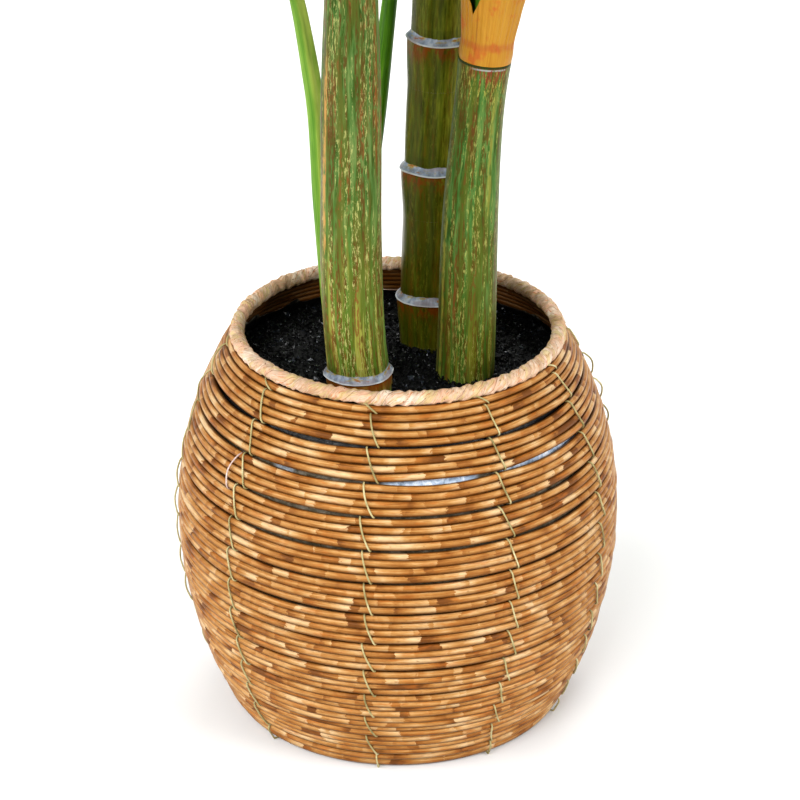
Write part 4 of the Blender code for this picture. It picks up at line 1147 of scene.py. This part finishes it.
# --------------------------------------------------------------- stalks and leaves
STALK_R0, STALK_R1, STALK_RING = 0.0042, 0.0030, 0.0091
BLADE_T = 0.0024
OUTLINE = ((0, 1.000), (4, 0.945), (10, 0.855), (20, 0.735), (35, 0.615), (50, 0.540), (70, 0.485), (90, 0.465),
           (110, 0.475), (128, 0.525), (142, 0.585), (152, 0.600), (160, 0.530), (167, 0.360), (173, 0.170), (180, 0.050))
LEAVES = {
    "middle": ((None, 105, 0.035, 1.365, 84, 100, -42, 0.205, 0.9, 4),
               (210, 208, 0.165, 1.255, 62, 208, 16, 0.265, 1.1, -8),
               (-30, -22, 0.165, 1.205, 60, -22, 20, 0.275, 1.1, 8),
               (30, 38, 0.185, 1.245, 60, 38, 14, 0.255, 1.1, 6),
               (90, 100, 0.195, 1.150, 56, 100, 28, 0.280, 1.0, -6),
               (-90, -92, 0.205, 1.105, 54, -92, 30, 0.290, 1.1, 6),
               (150, 155, 0.225, 1.050, 52, 155, 36, 0.285, 1.1, 8)),
    "left": ((-166, -158, 0.110, 0.985, 70, -160, 18, 0.245, 1.1, 6),
             (-22, -80, 0.215, 0.905, 52, -80, 32, 0.255, 1.1, -8),
             (-94, -123, 0.270, 0.830, 48, -127, 37, 0.265, 1.1, 6),
             (122, 178, 0.235, 0.810, 50, 180, 40, 0.275, 1.1, -4),
             (50, 128, 0.235, 0.860, 52, 122, 40, 0.265, 1.0, 6)),
    "right": ((58, 16, 0.155, 0.925, 62, 16, 24, 0.255, 1.1, -6),
              (-122, -34, 0.245, 0.835, 50, -32, 36, 0.260, 1.1, 6),
              (-32, -6, 0.285, 0.720, 46, -4, 42, 0.265, 1.1, 4),
              (148, 52, 0.225, 0.735, 52, 52, 42, 0.260, 1.0, -6)),
}
LOW_STALKS = {
    "low_1": (((-0.0452, 0.0347, 0.2548), (-0.0470, 0.0347, 0.2805), (-0.0515, 0.0349, 0.3545),
               (-0.0552, 0.0356, 0.4259), (-0.0600, 0.0365, 0.4607), (-0.0660, 0.0375, 0.4949),
               (-0.0820, 0.0480, 0.5500), (-0.1080, 0.0660, 0.6050), (-0.1420, 0.0880, 0.6500)),
              (154, 42, 0.215, 1.0, -6)),
    "low_2": (((-0.0330, 0.0430, 0.2550), (-0.0300, 0.0425, 0.2800), (-0.0222, 0.0400, 0.3500),
               (-0.0140, 0.0420, 0.4126), (-0.0095, 0.0470, 0.4538), (-0.0045, 0.0560, 0.4949),
               (0.0030, 0.0800, 0.5500), (0.0100, 0.1150, 0.6050), (0.0160, 0.1550, 0.6450)),
              (88, 44, 0.215, 1.0, 6)),
}


def outline(degrees):
    return cubic([a for a, _ in OUTLINE], [r for _, r in OUTLINE], np.abs(degrees))


def blade_height(length, u, v, droop):
    s, w = u / length, np.abs(v) / length
    along = np.where(s > 0, 0.30 * s * s, 0.16 * s * s)
    return length * (0.20 * w - 0.50 * w * w - droop * along)


def blade_frame(joint, azimuth, pitch, roll):
    turn = (Matrix.Rotation(math.radians(azimuth), 4, "Z") @ Matrix.Rotation(math.radians(pitch), 4, "Y")
            @ Matrix.Rotation(math.radians(roll), 4, "X"))
    return np.array(joint), np.array(turn.to_3x3())


def compass(degrees):
    return np.array([math.cos(math.radians(degrees)), math.sin(math.radians(degrees)), 0.0])


def stalk_end(joint, azimuth, pitch, roll, arrive):
    _, turn = blade_frame(joint, azimuth, pitch, roll)
    up = turn[:, 2]
    tilt = math.acos(float(np.clip(arrive @ up / np.linalg.norm(arrive), -1, 1)))
    back = (BLADE_T / 2 + 2.5 * 0.0003 + STALK_R1 * math.sin(min(tilt, math.pi / 2))) / max(math.cos(tilt), 0.35)
    return joint - arrive * back


def bezier(a, b, c, d, steps):
    t = (np.arange(1, steps + 1) / steps)[:, None]
    return (1 - t)**3 * a + 3 * t * (1 - t)**2 * b + 3 * t * t * (1 - t) * c + t**3 * d


def cane_stalk(kind, row):
    around, azimuth, reach, height, slope, blade_az, pitch, _, _, roll = row
    base, lean, _ = sheath_base(kind)
    out = compass(azimuth)
    side = np.zeros(3) if around is None else compass(around)
    foot = base + side * STALK_RING + lean * (0.0016 + 0.0016)
    leave = unit(lean + side * 0.075)
    top = foot + leave * 0.094
    joint = np.array([base[0] + out[0] * reach, base[1] + out[1] * reach, height])
    arrive = unit(out * math.cos(math.radians(slope)) + np.array([0, 0, 1.0]) * math.sin(math.radians(slope)))
    end = stalk_end(joint, blade_az, pitch, roll, arrive)
    span = np.linalg.norm(end - top)
    first = foot + (top - foot) * np.linspace(0, 1, 12)[:, None]
    return np.concatenate([first, bezier(top, top + leave * 0.45 * span, end - arrive * 0.35 * span, end, 40)]), joint


def build_stalk(name, path, widths, facing, material, node, hollow=0.42):
    """A stalk with a channel up one side: facing is the way the channel looks."""
    tangent, a, b = carried_frames(path, facing)
    sides = 26
    turn = np.arange(sides) * 2 * math.pi / sides + math.pi      # 0 is the channel's middle; the seam is opposite
    away = np.abs((turn + math.pi) % (2 * math.pi) - math.pi)
    section = 1 - hollow * np.exp(-(away / 0.55)**2) + 0.05 * np.exp(-((away - 0.95) / 0.28)**2)
    run = np.concatenate([[0], np.cumsum(np.linalg.norm(np.diff(path, axis=0), axis=1))])
    deep = np.clip(1.15 - run / run[-1], 0.15, 1.0)
    shape = 1 + (section[None] - 1) * deep[:, None]
    points = path[:, None] + (widths[:, None] * shape)[..., None] * (np.cos(turn)[None, :, None] * a[:, None]
                                                                     + np.sin(turn)[None, :, None] * b[:, None])
    faces, corners = grid(len(path), sides)
    share = corners[..., 1] / sides - 0.5
    batch = Batch("Bark")
    total = len(path) * sides
    batch.add(np.concatenate([points.reshape(-1, 3), [path[0], path[-1]]]), faces, 0, Bark=np.stack([share, run[corners[..., 0]]], -1))
    k = np.arange(sides)
    last = (len(path) - 1) * sides
    batch.add(None, np.stack([np.full(sides, total), (k + 1) % sides, k], -1))
    batch.add(None, np.stack([np.full(sides, total + 1), last + k, last + (k + 1) % sides], -1))
    return place(batch.build(name, [material], sharp=60), "stalk_green", node)


def vein_lines(length):
    """A blade's veins in its flat outline, as (points, thickness at foot, thickness at end)."""
    lines = [(np.stack([np.linspace(0.0, 0.985 * length, 40), np.zeros(40)], -1), 0.0021, 0.00045)]
    for side in (-1, 1):
        for i, (at, end) in enumerate(((0.02, 112), (0.10, 90), (0.19, 70), (0.29, 54), (0.40, 40), (0.51, 29),
                                       (0.62, 20.5), (0.73, 13.5), (0.83, 8.0))):
            end = end + side * (2.0 if i % 2 else -1.5)
            reach = float(outline(end)[0]) * length * 0.965
            a = np.array([at * length, 0.0])
            d = np.array([math.cos(math.radians(end)), side * math.sin(math.radians(end))]) * reach
            heading = np.array([math.cos(math.radians(56 - 14 * at)), side * math.sin(math.radians(56 - 14 * at))])
            span = np.linalg.norm(d - a)
            b, c = a + heading * span * 0.42, d - unit(d - a * (0.55 + 0.5 * at)) * span * 0.30
            line = np.concatenate([[a], bezier(a, b, c, d, 16)])
            lines.append((line, 0.00095 - 0.0004 * at, 0.00022))
        for end, foot, thick in ((150, 0.0, 0.00125), (131, 0.30, 0.0007), (160, 0.42, 0.0006)):
            main_end = np.array([math.cos(math.radians(150)), side * math.sin(math.radians(150))]) * float(outline(150)[0]) * length * 0.95
            reach = float(outline(end)[0]) * length * 0.95
            d = np.array([math.cos(math.radians(end)), side * math.sin(math.radians(end))]) * reach
            bow = np.array([0.0, side * 0.035 * length])
            a = foot * main_end + bow * math.sin(math.pi * foot)
            line = np.concatenate([[a], bezier(a, a + (d - a) * 0.35 + bow, a + (d - a) * 0.7 + bow * 0.7, d, 14)])
            lines.append((line, thick, 0.00022))
    return lines


def vein_places(points, ordered, tipward):
    """For each flat point its place among the ordered veins, whole on a vein, and the metres between its two veins."""
    gaps, sides = [], []
    every = np.arange(len(points))
    for line in ordered:
        a, b = line[:-1], line[1:]
        along = b - a
        off = points[:, None] - a[None]
        t = np.clip((off * along).sum(-1) / (along**2).sum(-1), 0, 1)
        d = np.linalg.norm(off - t[..., None] * along, axis=-1)
        k = d.argmin(1)
        gaps.append(d[every, k])
        sides.append(along[k, 0] * off[every, k, 1] - along[k, 1] * off[every, k, 0])
    gaps, sides = np.array(gaps), np.array(sides)
    nearest = gaps.argmin(0)
    here = gaps[nearest, every]
    other = nearest + np.where(sides[nearest, every] * tipward > 0, -1, 1)
    inside = (other >= 0) & (other < len(ordered))
    there = np.where(inside, gaps[np.clip(other, 0, len(ordered) - 1), every], 0.0)
    span = np.where(inside, here + there, np.maximum(0.04, 2.1 * here))
    return nearest + (other - nearest) * here / span, span


# Lobes drawn in where they would meet a neighbour: (degrees round from the tip, width, share of the reach).
TUCKS = {"blade_low_1": (-154.0, 36.0, 0.12), "blade_low_2": (145.0, 38.0, 0.12), "blade_right_1": (153.0, 32.0, 0.09)}


def build_leaf(name, joint, azimuth, pitch, length, droop, roll, materials, node, seed):
    rng = np.random.default_rng(seed)
    origin, turn = blade_frame(joint, azimuth, pitch, roll)
    lines = vein_lines(length)
    # half the angles, denser at the tip and round the lobes
    half = np.concatenate([np.linspace(0, 10, 7), np.linspace(13, 125, 32), np.linspace(128.5, 176, 21), [180.0]])
    angles = np.concatenate([half, -half[1:-1][::-1]])
    shares = np.concatenate([[0.02], np.linspace(0.07, 0.95, 25), [0.98, 1.0]])
    waves = [(rng.integers(5, 12), rng.uniform(0, 6.3), rng.normal(0, 0.0052)) for _ in range(3)]
    ripple = sum(s * np.sin(m * np.radians(angles) + f) for m, f, s in waves)
    cut = outline(angles) * length * (1 + 0.010 * np.sin(9 * np.radians(angles) + rng.uniform(0, 6)) * (np.abs(angles) < 150))
    middle, width, short = TUCKS.get(name, (180.0, 1.0, 0.0))
    tuck = 1.0 - smoothstep(np.clip(np.abs((angles - middle + 180.0) % 360.0 - 180.0) / width, 0.0, 1.0))
    cut = cut * (1 - short * tuck)
    reach = shares[:, None] * cut[None]
    u, v = reach * np.cos(np.radians(angles))[None], reach * np.sin(np.radians(angles))[None]
    flat = np.stack([u, v], -1).reshape(-1, 2)
    # each side's own veins, from the tip to the lobe
    order = [9, 8, 7, 6, 5, 4, 3, 2, 1, 11, 10, 12]
    places = {}
    for side, first in ((-1, 0), (1, 12)):
        places[side] = vein_places(flat, [lines[first + k][0] for k in order], -side)
    column = np.arange(len(flat)) % len(angles)
    right = column < len(half)
    place_, span = (np.where(right, places[1][k], places[-1][k]) for k in (0, 1))
    near = (np.abs(place_ - np.round(place_)) * span).reshape(u.shape)
    near = np.minimum(near, np.abs(v))
    fade = np.clip(shares / 0.2, 0, 1)[:, None] * (1 - 0.6 * shares[:, None]**3)
    quilt = 0.0017 * (1 - np.exp(-(near / 0.0085)**2)) * fade
    z = blade_height(length, u, v, droop) + quilt + ripple[None] * shares[:, None]**3.2 * (length / 0.27)
    z = z + 0.020 * length * np.sin(2.2 * u / length + rng.uniform(-0.5, 0.5)) * (v / length)
    count = len(angles)

    def put(lift):
        local = np.stack([u, v, z + lift], -1)
        return origin + local.reshape(-1, 3) @ turn.T

    thick = 0.00042
    batch = Batch("Vein", "Blade")
    faces, corners = grid(len(shares), count)
    on_right = (corners[..., 1].min(1) < len(half) - 1)[:, None]
    vein = np.stack([np.where(on_right, places[1][k][faces], places[-1][k][faces]) for k in (0, 1)], -1)
    blade = np.stack([np.abs(v).reshape(-1)[faces], shares[corners[..., 0]]], -1)
    hub_top, hub_low = origin + turn @ np.array([0, 0, thick]), origin - turn @ np.array([0, 0, thick])
    k = np.arange(count)
    total = len(shares) * count
    fan = np.stack([np.full(count, total), k, (k + 1) % count], -1)
    batch.add(np.concatenate([put(thick), [hub_top]]), faces[:, ::-1], 0, Vein=vein[:, ::-1], Blade=blade[:, ::-1])
    batch.add(None, fan, 0)
    batch.add(np.concatenate([put(-thick), [hub_low]]), faces, 1, Vein=vein, Blade=blade)
    batch.add(None, fan[:, ::-1], 1)
    # close the edge between the two skins
    low_start = total + 1
    rim_a = (len(shares) - 1) * count + k
    rim_b = (len(shares) - 1) * count + (k + 1) % count
    batch.last = 0
    edge = np.stack([rim_a, low_start + rim_a, low_start + rim_b, rim_b], -1)
    batch.add(None, edge, 0, Vein=np.full((count, 4, 2), (0.5, 0.03)), Blade=np.full((count, 4, 2), (0.02, 1.0)))

    def surface(line):
        """A flat line laid on the mesh itself, so that it neither sinks nor floats."""
        uu, vv = line[:, 0], line[:, 1]
        th = np.degrees(np.arctan2(vv, uu))
        full = np.concatenate([half, 360 - half[1:-1][::-1], [360.0]])
        c = np.interp(th % 360, full, np.arange(len(full)))
        edge_ = np.interp(c, np.arange(len(full)), np.append(cut, cut[0]))
        keep = np.minimum(1.0, 0.985 * edge_ / np.maximum(np.hypot(uu, vv), 1e-6))
        uu, vv = uu * keep, vv * keep
        r = np.interp(np.clip(np.hypot(uu, vv) / edge_, 0, 1), np.append(0, shares), np.arange(len(shares) + 1))
        wide = np.concatenate([np.zeros((1, count)), z])
        wide = np.concatenate([wide, wide[:, :1]], 1)
        i, j = np.minimum(r.astype(int), len(shares) - 1), np.minimum(c.astype(int), count - 1)
        fr, fc = r - i, c - j
        zz = ((1 - fr) * ((1 - fc) * wide[i, j] + fc * wide[i, j + 1]) + fr * ((1 - fc) * wide[i + 1, j] + fc * wide[i + 1, j + 1]))
        return origin + np.stack([uu, vv, zz], -1) @ turn.T

    for i, (line, foot, end) in enumerate(lines):
        t = np.linspace(0, 1, len(line) + 4)
        fine = np.stack([np.interp(t, np.linspace(0, 1, len(line)), line[:, k]) for k in (0, 1)], -1)
        path = surface(fine if i else line)
        t = np.linspace(0, 1, len(path))
        radii = (foot + (end - foot) * t**0.8) * length / 0.27 + 0.00018
        tube(batch, path, radii, 8 if i == 0 else 5, which=2, start=turn[:, 2], map_name="Vein")
    obj = batch.build(name, materials, sharp=70)
    return place(obj, "leaf_green", node)


# -------------------------------------------------------------------------- build
rattan = rattan_paint()
strands = build_strands(rattan)
hoop = build_hoop(rattan)
rim = build_rim(rim_paint())
twine = build_twine([
    twine_paint("twine", (0.220, 0.182, 0.074), (0.365, 0.312, 0.148), (0.525, 0.468, 0.268)),
    twine_paint("twine_pale", (0.400, 0.290, 0.260), (0.520, 0.400, 0.370), (0.640, 0.530, 0.500)),
])
liner = build_liner(liner_paint())
bed, crumbs = build_filling(bed_paint(), [
    crumb_paint("crumb_black", (0.006, 0.006, 0.0066), 0.45, 0.18),
    crumb_paint("crumb_glossy", (0.010, 0.010, 0.012), 0.27, 0.42),
    crumb_paint("crumb_glint", (0.032, 0.038, 0.052), 0.24, 0.55),
])
board = frame["nodes"]["basket_floor"]
board.data.materials.clear()
board.data.materials.append(floor_board_paint())

bright = dict(greens=((0.036, 0.070, 0.009), (0.053, 0.115, 0.022), (0.083, 0.158, 0.040), (0.143, 0.196, 0.060)), khaki=(0.098, 0.104, 0.017),
              brown=(0.098, 0.045, 0.010), rust=(0.180, 0.074, 0.020), cream=(0.400, 0.385, 0.145),
              amounts=(0.85, 0.82, 0.75), shade=(0.220, 0.058, 0.008), gloss=(0.08, 0.0, 0.42, 0.60, 0.50), under_least=0.75,
              # painted light: a yellower band down the cane's right side
              painted_light_side=(0.0885, 0.0120, (0.110, 0.230, 0.048)),
              foot=(0.28, 0.41, (0.108, 0.165, 0.016), 0.60, (0.330, 0.310, 0.066)),
              streaks=((0.0400, 0.0024, 0.34, 0.500, (0.480, 0.260, 0.080), 0.85), (0.0790, 0.0016, 0.40, 0.560, (0.230, 0.080, 0.018), 0.7), (0.0850, 0.0013, 0.30, 0.52, (0.170, 0.060, 0.012), 0.8)))
darker = dict(greens=((0.028, 0.066, 0.009), (0.044, 0.112, 0.020), (0.070, 0.158, 0.038), (0.124, 0.186, 0.048)), khaki=(0.078, 0.092, 0.010),
              brown=(0.082, 0.047, 0.007), rust=(0.122, 0.063, 0.012), cream=(0.330, 0.320, 0.095),
              amounts=(0.85, 0.78, 0.66), shade=(0.110, 0.034, 0.008), gloss=(0.08, 0.0, 0.42, 0.60, 0.55), collar=CANE_TOPS["right"],
              foot=(0.25, 0.36, (0.058, 0.096, 0.007), 0.60, (0.155, 0.142, 0.014)),
              streaks=((0.0560, 0.0024, 0.400, 0.464, (0.105, 0.034, 0.008), 0.95), (0.0505, 0.0013, 0.27, 0.36, (0.150, 0.060, 0.014), 0.75), (0.0712, 0.0026, 0.36, 0.472, (0.250, 0.250, 0.050), 0.62), (0.0398, 0.0018, 0.23, 0.39, (0.300, 0.270, 0.050), 0.70)))
olive = dict(greens=((0.027, 0.034, 0.0009), (0.047, 0.058, 0.0017), (0.076, 0.092, 0.0040), (0.132, 0.148, 0.0100)), khaki=(0.064, 0.062, 0.0020),
             brown=(0.080, 0.046, 0.002), rust=(0.140, 0.045, 0.002), cream=(0.200, 0.190, 0.024), amounts=(0.32, 0.26, 0.26),
             # painted light: a yellower band down the cane's right side
             shade=(0.140, 0.036, 0.002), gloss=(0.10, 0.0, 0.26, 0.38, 0.75), painted_light_side=(0.0760, 0.0180, (0.175, 0.172, 0.014)),
             spread=(0.37, 0.46, 0.54, 0.64), dull_share=0.45,
             foot=(0.35, 0.42, (0.030, 0.039, 0.0012), 0.46, (0.068, 0.056, 0.0028)))
build_cane("left", bark_paint("bark_left", **bright))
build_cane("right", bark_paint("bark_right", **darker))
build_cane("middle", bark_paint("bark_middle", **olive))
sheath_skin = sheath_paint()
for kind in ("left", "right", "middle"):
    build_sheath(kind, sheath_skin)

stalk_green = stalk_paint("stalk_green", (0.030, 0.100, 0.004), (0.060, 0.155, 0.008), (0.120, 0.250, 0.018), (0.200, 0.310, 0.036))
# Painted light and shade: lit and shaded copies of the stalk paint, lighter and yellower for the left low stalk, deeper
# green for the right one.
stalk_lit_copy = stalk_paint("stalk_lit_copy", (0.082, 0.210, 0.013), (0.160, 0.305, 0.030), (0.255, 0.400, 0.060), (0.440, 0.540, 0.110))
stalk_shaded_copy = stalk_paint("stalk_shaded_copy", (0.045, 0.140, 0.005), (0.082, 0.222, 0.008), (0.145, 0.330, 0.014), (0.220, 0.400, 0.026))
leaf_top = leaf_paint("leaf_top", (0.012, 0.058, 0.006), (0.022, 0.090, 0.010), (0.040, 0.130, 0.016), (0.110, 0.240, 0.036), 0.38, 0.05)
leaf_under = leaf_paint("leaf_under", (0.045, 0.115, 0.022), (0.066, 0.150, 0.032), (0.092, 0.190, 0.045), (0.165, 0.285, 0.080), 0.52, 0.0)
leaf_vein = vein_paint("leaf_vein", (0.170, 0.320, 0.060), (0.270, 0.430, 0.110))
leaf_skins = [leaf_top, leaf_under, leaf_vein]

seed = 200
for kind, rows in LEAVES.items():
    for i, row in enumerate(rows):
        path, joint = cane_stalk(kind, row)
        t = np.linspace(0, 1, len(path))
        widths = STALK_R0 * 1.04 + (STALK_R1 - STALK_R0) * t + 0.0008 * np.exp(-(t / 0.25)**2)
        around = row[0] if row[0] is not None else 0
        build_stalk(f"petiole_{kind}_{i + 1}", path, widths, -compass(around), stalk_green, f"stalk_{kind}_{i + 1}")
        azimuth, pitch, length, droop, roll = row[5:]
        seed += 1
        build_leaf(f"blade_{kind}_{i + 1}", joint, azimuth, pitch, length, droop, roll, leaf_skins, f"leaf_{kind}_{i + 1}", seed)
for name, (points, blade) in LOW_STALKS.items():
    azimuth, pitch, length, droop, roll = blade
    places = [np.array(q) for q in points]
    arrive = unit(places[-1] - places[-2])
    joint = places[-1] + arrive * 0.012
    places[-1] = stalk_end(joint, azimuth, pitch, roll, arrive)
    places = np.array(places)
    places = np.concatenate([[places[0] - (0, 0, 0.006)], places])
    run = np.concatenate([[0], np.cumsum(np.linalg.norm(np.diff(places, axis=0), axis=1))])
    path = cubic(run, places, np.linspace(0, run[-1], 70))
    t = np.linspace(0, 1, 70)
    widths = np.interp(t, (0, 0.25, 0.45, 0.6, 1.0), (0.0056, 0.0062, 0.0060, 0.0046, 0.0031))
    facing = (0.75, -0.65, 0.0) if name == "low_1" else (0.2, 0.95, 0.0)
    # the left low stalk takes the painted lit copy, the right one the painted shaded copy
    build_stalk(f"petiole_{name}", path, widths, facing, stalk_lit_copy if name == "low_1" else stalk_shaded_copy, f"stalk_{name}", hollow=0.55)
    seed += 1
    build_leaf(f"blade_{name}", joint, azimuth, pitch, length, droop, roll, leaf_skins, f"leaf_{name}", seed)

count = {}
for obj in bpy.data.objects:
    if obj.type == "MESH" and not obj.hide_render:
        count[obj.name] = sum(len(p.vertices) - 2 for p in obj.data.polygons)
print("triangles", sum(count.values()), "largest", sorted(count.items(), key=lambda kv: -kv[1])[:4])
